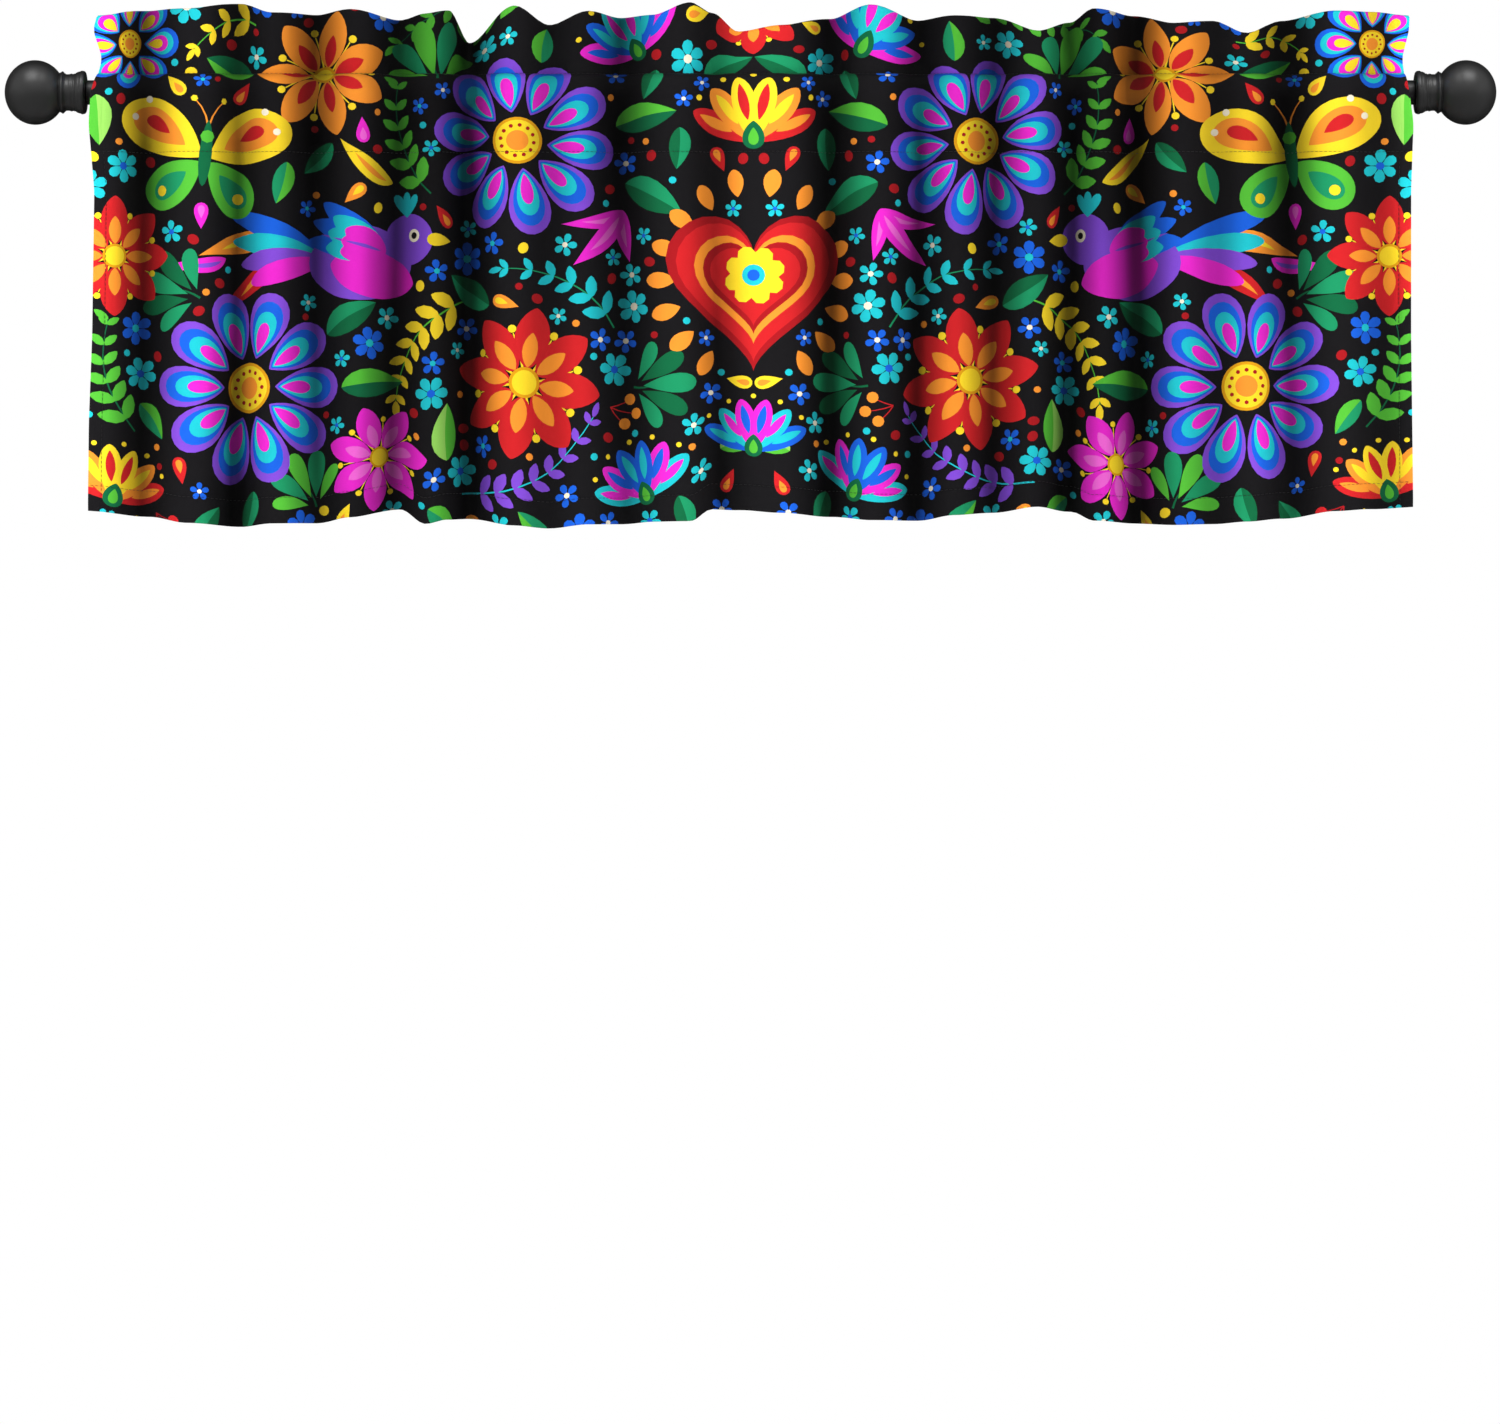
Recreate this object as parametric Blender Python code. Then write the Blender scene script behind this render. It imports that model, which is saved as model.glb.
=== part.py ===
"""A window valance hanging from a rod with a ball finial at each end.

Units are metres. +X runs along the rod to the viewer's right, +Y points back to the wall and
+Z is up. The origin is the middle of the rod, on its axis.

The valance is one sheet of cloth: a drop, a sewn pocket that the rod passes through, and a
header that stands up above the rod. The cloth runs up the front, turns over at the header's
edge and comes down behind the rod to the pocket's lower seam.
"""

import math

import bmesh
import bpy
import numpy as np

# The rod and its finials.
ROD_RADIUS = 0.011
ROD_HALF_LENGTH = 0.5975
ROD_SIDES = 32
FINIAL_SIDES = 28
BALL_RADIUS = 0.0280
BALL_STEPS = 9
JOIN_GAP = 0.0003

# The cloth as it hangs.
CLOTH = 0.0013
HEM_CLOTH = 0.0020
HALF_WIDTH = 0.594
HEADER_HEIGHT = 0.0715
HEM_LEVEL = -0.382
SEAM_LEVEL = -0.0545
BOTTOM_HEM = 0.025
SIDE_HEM = 0.013
HEM_STEP = 0.0015

# The pocket lies this far from the rod's axis, measured to the printed face.
POCKET_RADIUS = 0.0160
# How far up the pocket, from its seam to the stitch above the rod, the rod's middle is.
AT_ROD_SHARE = 0.74
# Half the distance between the printed faces where the two layers are sewn together.
HALF_STACK = 0.0023

# How the folds grow and shrink with height: a share of the depth in FOLDS.
AT_HEM = 1.12
AT_SEAM = 0.95
AT_ROD = 0.6
AT_STITCH = 0.75
AT_HEADER_EDGE = 0.9
CREST = -0.009
# How far the folds are pushed forward where they pass the rod, so that the deep ones just clear it.
POCKET_PUSH = 0.0145
# How far in front of the rod's axis the cloth hangs, at and below the pocket's seam and above the rod.
SEAM_FORWARD = -0.009
STITCH_FORWARD = -0.006
SWAY = 0.004
SWAY_LENGTH = 0.62
HEADER_LEAN = 0.5
SPREAD_GROWTH = 0.12
# The share of a fold's depth that runs out in a wide, shallow skirt.
SKIRT = 0.18

# One row for each fold and each crest between two folds, from left to right:
# x       place along the rod
# lean    how far the fold has moved along the rod by the time it reaches the hem
# depth   how far back the fold goes, and 0 on a crest
# gain    the fold's depth at the hem, as a share of its depth at the pocket
# spread  half the fold's width
# header  height of the header's edge above the rod's axis
# hem     level of the hem below the rod's axis
FOLD_COLUMNS = ("x", "lean", "depth", "gain", "spread", "header", "hem")
FOLDS = (
    (-0.594, 0.000, 0.0000, 1.0, 0.0000, 0.0680, -0.3765),
    (-0.543, -0.002, 0.0220, 0.9, 0.0115, 0.0740, -0.3810),
    (-0.506, 0.000, 0.0000, 1.0, 0.0000, 0.0745, -0.3870),
    (-0.459, -0.003, 0.0180, 1.4, 0.0105, 0.0800, -0.3900),
    (-0.430, 0.000, 0.0000, 1.0, 0.0000, 0.0710, -0.3875),
    (-0.391, 0.003, 0.0240, 0.8, 0.0120, 0.0705, -0.3870),
    (-0.360, 0.000, 0.0000, 1.0, 0.0000, 0.0740, -0.3820),
    (-0.316, -0.006, 0.0230, 1.1, 0.0125, 0.0660, -0.3745),
    (-0.292, 0.000, 0.0000, 1.0, 0.0000, 0.0705, -0.3880),
    (-0.271, 0.000, 0.0000, 1.0, 0.0000, 0.0735, -0.3840),
    (-0.254, 0.002, 0.0290, 0.9, 0.0115, 0.0470, -0.3830),
    (-0.212, 0.000, 0.0000, 1.0, 0.0000, 0.0770, -0.3895),
    (-0.181, -0.002, 0.0120, 0.8, 0.0110, 0.0610, -0.3920),
    (-0.145, 0.000, 0.0000, 1.0, 0.0000, 0.0725, -0.3885),
    (-0.117, 0.006, 0.0240, 0.7, 0.0125, 0.0680, -0.3880),
    (-0.088, 0.000, 0.0000, 1.0, 0.0000, 0.0690, -0.3860),
    (-0.054, 0.000, 0.0000, 1.0, 0.0000, 0.0800, -0.3855),
    (-0.034, 0.008, 0.0110, 1.5, 0.0100, 0.0710, -0.3745),
    (-0.011, 0.000, 0.0000, 1.0, 0.0000, 0.0545, -0.3755),
    (+0.027, 0.000, 0.0000, 1.0, 0.0000, 0.0600, -0.3780),
    (+0.072, -0.002, 0.0220, 1.1, 0.0110, 0.0670, -0.3810),
    (+0.108, 0.000, 0.0000, 1.0, 0.0000, 0.0780, -0.3845),
    (+0.151, -0.004, 0.0210, 1.1, 0.0110, 0.0655, -0.3845),
    (+0.183, 0.000, 0.0000, 1.0, 0.0000, 0.0685, -0.3800),
    (+0.218, -0.002, 0.0230, 0.9, 0.0115, 0.0680, -0.3775),
    (+0.259, 0.000, 0.0000, 1.0, 0.0000, 0.0555, -0.3725),
    (+0.288, -0.005, 0.0230, 1.2, 0.0110, 0.0640, -0.3765),
    (+0.308, 0.000, 0.0000, 1.0, 0.0000, 0.0750, -0.3850),
    (+0.345, 0.004, 0.0280, 1.0, 0.0120, 0.0700, -0.3870),
    (+0.380, 0.000, 0.0000, 1.0, 0.0000, 0.0620, -0.3890),
    (+0.416, -0.003, 0.0120, 1.1, 0.0115, 0.0645, -0.3880),
    (+0.446, 0.000, 0.0000, 1.0, 0.0000, 0.0535, -0.3860),
    (+0.479, 0.006, 0.0240, 0.7, 0.0120, 0.0655, -0.3830),
    (+0.526, 0.000, 0.0000, 1.0, 0.0000, 0.0725, -0.3765),
    (+0.558, 0.009, 0.0090, 1.5, 0.0120, 0.0720, -0.3745),
    (+0.594, 0.000, 0.0000, 1.0, 0.0000, 0.0680, -0.3730),
)

# How far each side edge is drawn in at a height, from the header down to the hem.
SIDE_COLUMNS = ("height", "left", "right")
SIDES = (
    (+0.070, 0.009, 0.003),
    (+0.056, 0.004, 0.003),
    (+0.029, 0.013, 0.010),
    (+0.000, 0.004, 0.005),
    (-0.030, 0.001, 0.000),
    (-0.090, 0.006, 0.002),
    (-0.220, 0.004, 0.002),
    (-0.300, 0.001, 0.001),
    (-0.385, 0.000, 0.000),
)
SIDE_REACH = 0.045

# Where columns of the sheet's mesh stand in a fold, in spreads from its middle.
DEEP_FOLD_COLUMNS = (-2.0, -1.1, -0.4, 0.4, 1.1, 2.0)
SHALLOW_FOLD_COLUMNS = (-1.5, -0.5, 0.5, 1.5)
DEEP = 0.012
LEAST_COLUMN_GAP = 0.0060

# Rows of the sheet's mesh: shares of the drop, the pocket and the header.
DROP_ROWS = (0.25, 0.5, 0.75)
POCKET_ROWS = (0.0, 0.28, 0.46, 0.59, 0.69, 0.79, 0.9, 1.0)
HEADER_ROWS = (0.5,)
TURN_ANGLES = (0.0, 60.0, 120.0, 180.0)

BLACK_METAL = ((0.022, 0.022, 0.024, 1.0), 0.42, 0.6)
PRINTED_CLOTH = ((0.10, 0.07, 0.13, 1.0), 0.82, 0.0)


def columns_of(table, names):
    """A table's columns by name, each as an array."""
    return dict(zip(names, np.array(table).T))


FOLD = columns_of(FOLDS, FOLD_COLUMNS)
FOLD_SHAPES = [row[:5] for row in FOLDS if row[2] > 0.0]
SIDE = columns_of(SIDES[::-1], SIDE_COLUMNS)


def ease(share):
    """0 below 0, 1 above 1, and a smooth rise between."""
    share = min(max(share, 0.0), 1.0)
    return share * share * (3.0 - 2.0 * share)


def between(a, b, share):
    return a + (b - a) * share


def eased_column(x, name):
    """A column of the fold table at x, with a smooth rise or fall between its rows."""
    places = FOLD["x"]
    x = min(max(x, places[0]), places[-1])
    row = min(int(np.searchsorted(places, x, side="right")) - 1, len(places) - 2)
    share = (x - places[row]) / (places[row + 1] - places[row])
    return between(FOLD[name][row], FOLD[name][row + 1], ease(share))


def fold_depth(x, fallen=0.0):
    """How far back from the crests the cloth lies at x. fallen is 0 down to the pocket's seam, 1 at the hem."""
    depth = 0.0
    for place, lean, deep, gain, spread in FOLD_SHAPES:
        away = (x - place - lean * fallen) / (spread * (1.0 + SPREAD_GROWTH * fallen))
        bell = (1.0 - SKIRT) * math.exp(-away * away / 2.0) + SKIRT * math.exp(-away * away / 8.0)
        depth += deep * between(1.0, gain, fallen) * bell
    return depth


def across(x, height):
    """x once the side edges are drawn in at this height."""
    left = np.interp(height, SIDE["height"], SIDE["left"])
    right = np.interp(height, SIDE["height"], SIDE["right"])
    near_left = ease(1.0 - (x + HALF_WIDTH) / SIDE_REACH)
    near_right = ease(1.0 - (HALF_WIDTH - x) / SIDE_REACH)
    return x + left * near_left - right * near_right


def drop_point(x, share):
    """A point of the drop, from the hem at share 0 up to the pocket's seam at share 1."""
    flat = between(HEM_LEVEL, SEAM_LEVEL, share)
    pulled = (eased_column(x, "hem") - HEM_LEVEL) * (1.0 - ease(share / 0.55))
    fullness = between(AT_HEM, AT_SEAM, share)
    sway = SWAY * (1.0 - share) * math.sin(2.0 * math.pi * x / SWAY_LENGTH + 0.8)
    back = fullness * (CREST + fold_depth(x, 1.0 - share)) + SEAM_FORWARD + sway - HALF_STACK
    return across(x, flat), back, flat + pulled


def pocket_outline(share):
    """Half width and height of the pocket round the rod, from its seam to the stitch above the rod.

    Two straight sides rise from the seam and touch the circle that goes over the rod.
    """
    reach = -SEAM_LEVEL
    side = math.sqrt(reach**2 - POCKET_RADIUS**2)
    lean = math.asin(POCKET_RADIUS / reach)
    length = share * (side + POCKET_RADIUS * (math.pi / 2.0 + lean))
    if length < side:
        rise = length / side
        return rise * POCKET_RADIUS * math.cos(lean), between(-reach, -POCKET_RADIUS * math.sin(lean), rise)
    angle = (length - side) / POCKET_RADIUS - lean
    return POCKET_RADIUS * math.cos(angle), POCKET_RADIUS * math.sin(angle)


def pocket_fullness(share):
    """The share of a fold's depth that is left as the cloth passes the rod."""
    if share < AT_ROD_SHARE:
        return between(AT_SEAM, AT_ROD, ease(share / AT_ROD_SHARE))
    return between(AT_ROD, AT_STITCH, ease((share - AT_ROD_SHARE) / (1.0 - AT_ROD_SHARE)))


def pocket_forward(share):
    """How far forward the whole pocket stands, and 0 where it goes round the rod's middle."""
    if share < AT_ROD_SHARE:
        return between(SEAM_FORWARD, 0.0, ease(share / AT_ROD_SHARE))
    return between(0.0, STITCH_FORWARD, ease((share - AT_ROD_SHARE) / (1.0 - AT_ROD_SHARE)))


def pocket_point(x, share, face):
    """A point of the pocket. face is -1 in front of the rod and +1 behind it."""
    half_width, height = pocket_outline(share)
    full = math.sin(math.pi * share**2.25)
    rest = POCKET_PUSH if face < 0 else CREST
    back = pocket_fullness(share) * (CREST + fold_depth(x) - rest * full) + pocket_forward(share)
    back += face * max(half_width, HALF_STACK)
    away = math.hypot(back, height)
    if away < POCKET_RADIUS:
        back, height = back * POCKET_RADIUS / away, height * POCKET_RADIUS / away
    return across(x, height), back, height


def header_point(x, share, face, turn=0.0):
    """A point of the header. turn goes over its edge, from 0 in front to 180 degrees behind."""
    top = eased_column(x, "header")
    radius = HALF_STACK
    height = between(POCKET_RADIUS, top - radius, share)
    fullness = between(AT_STITCH, AT_HEADER_EDGE, share)
    lean = HEADER_LEAN * max(HEADER_HEIGHT - top, 0.0) * ease(share)
    back = fullness * (CREST + fold_depth(x)) + lean + STITCH_FORWARD
    if turn > 0.0 or share == 1.0:
        angle = math.radians(turn)
        back -= radius * math.cos(angle)
        height += radius * math.sin(angle)
    else:
        back += face * radius
    return across(x, height), back, height


def sheet_rows():
    """The rows of the sheet in order, each as (function of x, share of the hem's extra thickness)."""
    drop = SEAM_LEVEL - HEM_LEVEL
    hem_share = BOTTOM_HEM / drop
    step_share = (BOTTOM_HEM + HEM_STEP) / drop
    rows = [(lambda x: drop_point(x, 0.0), 1.0)]
    rows.append((lambda x: drop_point(x, hem_share), 1.0))
    rows.append((lambda x: drop_point(x, step_share), 0.0))
    for share in DROP_ROWS:
        rows.append((lambda x, s=share: drop_point(x, s), 0.0))
    for share in POCKET_ROWS:
        rows.append((lambda x, s=share: pocket_point(x, s, -1.0), 0.0))
    for share in HEADER_ROWS:
        rows.append((lambda x, s=share: header_point(x, s, -1.0), 0.0))
    for turn in TURN_ANGLES:
        rows.append((lambda x, a=turn: header_point(x, 1.0, 0.0, a), 0.0))
    for share in HEADER_ROWS[::-1]:
        rows.append((lambda x, s=share: header_point(x, s, 1.0), 0.0))
    for share in POCKET_ROWS[::-1]:
        rows.append((lambda x, s=share: pocket_point(x, s, 1.0), 0.0))
    return rows


def sheet_columns():
    """The places of the sheet's columns along x, close together where a fold turns."""
    hem_edges = (SIDE_HEM, SIDE_HEM + HEM_STEP)
    fixed = [-HALF_WIDTH, HALF_WIDTH]
    fixed += [-HALF_WIDTH + edge for edge in hem_edges]
    fixed += [HALF_WIDTH - edge for edge in hem_edges]
    wanted = []
    for x, depth, spread in zip(FOLD["x"], FOLD["depth"], FOLD["spread"]):
        if depth == 0.0:
            wanted.append(x)
            continue
        places = DEEP_FOLD_COLUMNS if depth > DEEP else SHALLOW_FOLD_COLUMNS
        wanted += [x + place * spread for place in places]
    columns = list(fixed)
    inner = HALF_WIDTH - SIDE_HEM
    for x in sorted(wanted):
        if abs(x) < inner and min(abs(x - other) for other in columns) > LEAST_COLUMN_GAP:
            columns.append(x)
    return sorted(columns)


def material(name, finish):
    """A material with the finish's base colour, roughness and metallic value."""
    colour, roughness, metallic = finish
    made = bpy.data.materials.new(name)
    made.use_nodes = True
    shader = made.node_tree.nodes["Principled BSDF"]
    shader.inputs["Base Color"].default_value = colour
    shader.inputs["Roughness"].default_value = roughness
    shader.inputs["Metallic"].default_value = metallic
    made.diffuse_color = colour
    return made


def add_object(name, mesh, finish):
    """Puts a mesh into the scene as a named sub-part, shaded smooth."""
    mesh.materials.append(finish)
    mesh.shade_smooth()
    mesh.set_sharp_from_angle(angle=math.radians(40.0))
    made = bpy.data.objects.new(name, mesh)
    bpy.context.scene.collection.objects.link(made)
    return made


def make_cloth(finish):
    """The valance: a sheet laid over its folds and thickened to the wrong side, more so at the hems."""
    rows = sheet_rows()
    columns = sheet_columns()
    points = [place(x) for place, _ in rows for x in columns]
    width = len(columns)
    faces = []
    for row in range(len(rows) - 1):
        for column in range(width - 1):
            corner = row * width + column
            faces.append((corner, corner + 1, corner + width + 1, corner + width))
    mesh = bpy.data.meshes.new("valance_cloth")
    mesh.from_pydata(points, [], faces)
    cloth = add_object("valance_cloth", mesh, finish)

    hems = cloth.vertex_groups.new(name="hems")
    for row, (_, extra) in enumerate(rows):
        for column, x in enumerate(columns):
            in_side_hem = HALF_WIDTH - abs(x) < SIDE_HEM + HEM_STEP / 2.0
            if extra > 0.0 or in_side_hem:
                hems.add([row * width + column], 1.0, "REPLACE")

    thick = cloth.modifiers.new("thickness", "SOLIDIFY")
    thick.thickness = HEM_CLOTH
    thick.offset = -1.0
    thick.vertex_group = hems.name
    thick.thickness_vertex_group = CLOTH / HEM_CLOTH
    thick.use_even_offset = False
    return cloth


def make_rod(finish):
    """The round rod, closed at its ends where the finials plug on."""
    shape = bmesh.new()
    bmesh.ops.create_cone(
        shape,
        cap_ends=True,
        segments=ROD_SIDES,
        radius1=ROD_RADIUS,
        radius2=ROD_RADIUS,
        depth=2.0 * ROD_HALF_LENGTH,
    )
    mesh = bpy.data.meshes.new("rod")
    shape.to_mesh(mesh)
    shape.free()
    rod = add_object("rod", mesh, finish)
    rod.rotation_euler.y = math.radians(90.0)
    return rod


def finial_profile():
    """(distance from the rod's end, radius) along a finial, from its flat foot to the ball's tip."""
    collar = [
        (0.0000, 0.0000),
        (0.0000, 0.0160),
        (0.0012, 0.0185),
        (0.0040, 0.0190),
        (0.0058, 0.0178),
        (0.0085, 0.0158),
        (0.0100, 0.0166),
        (0.0120, 0.0156),
        (0.0150, 0.0154),
        (0.0168, 0.0164),
        (0.0188, 0.0155),
        (0.0205, 0.0170),
        (0.0222, 0.0182),
        (0.0240, 0.0168),
    ]
    ball_centre = collar[-1][0] + math.sqrt(BALL_RADIUS**2 - collar[-1][1] ** 2)
    start = math.pi - math.asin(collar[-1][1] / BALL_RADIUS)
    ball = []
    for step in range(1, BALL_STEPS + 1):
        angle = start * (1.0 - step / BALL_STEPS)
        ball.append((ball_centre + BALL_RADIUS * math.cos(angle), BALL_RADIUS * math.sin(angle)))
    ball[-1] = (ball_centre + BALL_RADIUS, 0.0)
    return collar + ball


def make_finial(name, side, finish):
    """A ball and collar turned about the rod's axis. side is -1 at the left and +1 at the right."""
    shape = bmesh.new()
    line = [shape.verts.new((along, 0.0, radius)) for along, radius in finial_profile()]
    edges = [shape.edges.new(pair) for pair in zip(line, line[1:])]
    bmesh.ops.spin(
        shape,
        geom=line + edges,
        cent=(0.0, 0.0, 0.0),
        axis=(1.0, 0.0, 0.0),
        angle=2.0 * math.pi,
        steps=FINIAL_SIDES,
        use_merge=True,
    )
    bmesh.ops.remove_doubles(shape, verts=shape.verts, dist=1e-6)
    bmesh.ops.recalc_face_normals(shape, faces=shape.faces)
    mesh = bpy.data.meshes.new(name)
    shape.to_mesh(mesh)
    shape.free()
    finial = add_object(name, mesh, finish)
    finial.location.x = side * (ROD_HALF_LENGTH + JOIN_GAP)
    if side < 0:
        finial.rotation_euler.z = math.radians(180.0)
    return finial


def main():
    for old in list(bpy.data.objects):
        bpy.data.objects.remove(old)
    metal = material("black_metal", BLACK_METAL)
    cloth = material("printed_cloth", PRINTED_CLOTH)
    make_rod(metal)
    make_finial("finial_left", -1, metal)
    make_finial("finial_right", +1, metal)
    make_cloth(cloth)


main()
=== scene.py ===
"""The looks of a window valance hanging by its rod pocket from a rod with ball finials.

Metres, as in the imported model: the origin is the middle of the rod, +X runs along it to the
viewer's right, +Y points back to the wall and +Z up. The cloth is laid out flat first, with its
print, and is then hung: u runs across the flat cloth and v up it from the hem, over the
header's edge and down behind the rod.
"""
import math
import random

import bmesh
import bpy
import numpy as np
from mathutils.geometry import delaunay_2d_cdt
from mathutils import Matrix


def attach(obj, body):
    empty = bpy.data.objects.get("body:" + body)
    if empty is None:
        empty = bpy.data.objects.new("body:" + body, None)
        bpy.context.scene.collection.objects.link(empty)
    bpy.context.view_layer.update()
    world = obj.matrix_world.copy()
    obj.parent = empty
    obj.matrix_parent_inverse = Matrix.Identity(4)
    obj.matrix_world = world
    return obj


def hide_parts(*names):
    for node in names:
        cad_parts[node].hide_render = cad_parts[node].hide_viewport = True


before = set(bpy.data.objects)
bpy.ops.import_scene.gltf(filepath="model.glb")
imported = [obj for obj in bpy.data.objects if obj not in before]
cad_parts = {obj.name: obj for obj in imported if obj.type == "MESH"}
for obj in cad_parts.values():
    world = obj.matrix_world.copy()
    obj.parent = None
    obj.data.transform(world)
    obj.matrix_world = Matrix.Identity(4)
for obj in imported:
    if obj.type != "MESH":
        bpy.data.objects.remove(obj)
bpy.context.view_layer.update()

# ---------------------------------------------------------------- the photograph's view
PHOTO_WIDTH, PHOTO_HEIGHT = 1500, 1424
METRES_PER_PIXEL = 0.0009
ROD_COLUMN, ROD_ROW = 750.5, 92.5
CAMERA_DISTANCE = 6.0
FLOOR_LEVEL = -1.30

# ---------------------------------------------------------------- the cloth as it hangs
HALF_WIDTH = 0.594
HEADER_HEIGHT = 0.0715
HEM_LEVEL = -0.382
# The pocket's seam, the radius of its printed face round the rod, and how far up it the rod lies.
SEAM_LEVEL = -0.0545
POCKET_RADIUS = 0.0160
AT_ROD_SHARE = 0.74
# Half the distance between the header's front and back printed faces.
HALF_STACK = 0.0023
# How deep the folds are at each level, as a share of the depth in their table.
AT_HEM, AT_SEAM, AT_ROD, AT_STITCH, AT_HEADER_EDGE = 1.12, 0.95, 0.6, 0.75, 0.9
# How far in front of the cloth's middle its crests lie, and how far the full pocket is pushed out.
CREST = -0.009
POCKET_PUSH = 0.0145
# Where the cloth's middle lies at the pocket's seam and at the stitch above the rod.
SEAM_FORWARD, STITCH_FORWARD = -0.009, -0.006
SWAY, SWAY_LENGTH, SWAY_START = 0.004, 0.62, 0.8
# The hem's rise and fall is gone this share of the way up the drop.
HEM_PULL_SHARE = 0.55
# A higher power moves the pocket's fullness up towards the rod.
POCKET_FULL_POWER = 2.25
# Where the header's edge is low it leans back by this share of what its height lacks.
HEADER_LEAN = 0.5
# How much wider a fold is at the hem, and the share of its depth that is in a bell twice as wide.
SPREAD_GROWTH = 0.12
SKIRT = 0.18

# Each fold's x, lean towards the hem, depth, how many times as deep it is at the hem, and spread.
FOLDS = (
    (-0.543, -0.002, 0.0220, 0.9, 0.0115),
    (-0.459, -0.003, 0.0180, 1.4, 0.0105),
    (-0.391, 0.003, 0.0240, 0.8, 0.0120),
    (-0.316, -0.006, 0.0230, 1.1, 0.0125),
    (-0.254, 0.002, 0.0290, 0.9, 0.0115),
    (-0.181, -0.002, 0.0120, 0.8, 0.0110),
    (-0.117, 0.006, 0.0240, 0.7, 0.0125),
    (-0.034, 0.008, 0.0110, 1.5, 0.0100),
    (+0.072, -0.002, 0.0220, 1.1, 0.0110),
    (+0.151, -0.004, 0.0210, 1.1, 0.0110),
    (+0.218, -0.002, 0.0230, 0.9, 0.0115),
    (+0.288, -0.005, 0.0230, 1.2, 0.0110),
    (+0.345, 0.004, 0.0280, 1.0, 0.0120),
    (+0.416, -0.003, 0.0120, 1.1, 0.0115),
    (+0.479, 0.006, 0.0240, 0.7, 0.0120),
    (+0.558, 0.009, 0.0090, 1.5, 0.0120),
)

# x, and the heights of the header's edge and of the hem there.
EDGE_X, HEADER_EDGE, HEM_EDGE = np.array((
    (-0.594, 0.0680, -0.3765), (-0.543, 0.0740, -0.3810), (-0.506, 0.0745, -0.3870),
    (-0.459, 0.0800, -0.3900), (-0.430, 0.0710, -0.3875), (-0.391, 0.0705, -0.3870),
    (-0.360, 0.0740, -0.3820), (-0.316, 0.0660, -0.3745), (-0.292, 0.0705, -0.3880),
    (-0.271, 0.0735, -0.3840), (-0.254, 0.0470, -0.3830), (-0.212, 0.0770, -0.3895),
    (-0.181, 0.0610, -0.3920), (-0.145, 0.0725, -0.3885), (-0.117, 0.0680, -0.3880),
    (-0.088, 0.0690, -0.3860), (-0.054, 0.0800, -0.3855), (-0.034, 0.0710, -0.3745),
    (-0.011, 0.0545, -0.3755), (+0.027, 0.0600, -0.3780), (+0.072, 0.0670, -0.3810),
    (+0.108, 0.0780, -0.3845), (+0.151, 0.0655, -0.3845), (+0.183, 0.0685, -0.3800),
    (+0.218, 0.0680, -0.3775), (+0.259, 0.0555, -0.3725), (+0.288, 0.0640, -0.3765),
    (+0.308, 0.0750, -0.3850), (+0.345, 0.0700, -0.3870), (+0.380, 0.0620, -0.3890),
    (+0.416, 0.0645, -0.3880), (+0.446, 0.0535, -0.3860), (+0.479, 0.0655, -0.3830),
    (+0.526, 0.0725, -0.3765), (+0.558, 0.0720, -0.3745), (+0.594, 0.0680, -0.3730),
)).T

# A height, and how far the left and the right side edge are drawn in there.
SIDE_LEVEL, LEFT_IN, RIGHT_IN = np.array((
    (-0.385, 0.000, 0.000), (-0.300, 0.001, 0.001), (-0.220, 0.004, 0.002),
    (-0.090, 0.006, 0.002), (-0.030, 0.001, 0.000), (+0.000, 0.004, 0.005),
    (+0.029, 0.013, 0.010), (+0.056, 0.004, 0.003), (+0.070, 0.009, 0.003),
)).T
SIDE_REACH = 0.045
SIDE_ROUNDING = 0.006

# ---------------------------------------------------------------- the cloth laid flat
FLAT_WIDTH = 1.372
HALF_FLAT = FLAT_WIDTH / 2.0
SHEET = 0.0007
FOLDED_HEM = 0.0012
BOTTOM_HEM = 0.025
SIDE_HEM = 0.013
POCKET_TURN = 0.009
HEM_STEP = 0.001
# The print is widened by this, so that its motifs look round once the cloth is gathered.
PRINT_STRETCH = 1.1


def ease(share):
    """0 below 0, 1 above 1, and a smooth rise between."""
    share = np.clip(share, 0.0, 1.0)
    return share * share * (3.0 - 2.0 * share)


def between(a, b, share):
    return a + (b - a) * share


def edge_height(x, heights):
    """The header's or the hem's height at x, with a smooth rise or fall between the table's rows."""
    x = np.clip(x, EDGE_X[0], EDGE_X[-1])
    row = np.clip(np.searchsorted(EDGE_X, x, side="right") - 1, 0, len(EDGE_X) - 2)
    share = (x - EDGE_X[row]) / (EDGE_X[row + 1] - EDGE_X[row])
    return between(heights[row], heights[row + 1], ease(share))


def fold_depth(x, fallen=0.0, widen=1.0):
    """How far back from the crests the cloth lies at x.

    fallen is 0 down to the pocket's seam and 1 at the hem, and widen makes each fold's bell wider.
    """
    depth = 0.0
    for place, lean, deep, gain, spread in FOLDS:
        away = (x - place - lean * fallen) / (spread * widen * (1.0 + SPREAD_GROWTH * fallen))
        bell = (1.0 - SKIRT) * np.exp(-away * away / 2.0) + SKIRT * np.exp(-away * away / 8.0)
        depth = depth + deep * between(1.0, gain, fallen) * bell
    return depth


def drawn_in(height, edge):
    """How far a side edge is drawn in at a height, with the table's corners rounded."""
    parts = (-1.0, -0.5, 0.0, 0.5, 1.0)
    near = [np.interp(height + SIDE_ROUNDING * part, SIDE_LEVEL, edge) for part in parts]
    return np.mean(near, axis=0)


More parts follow.
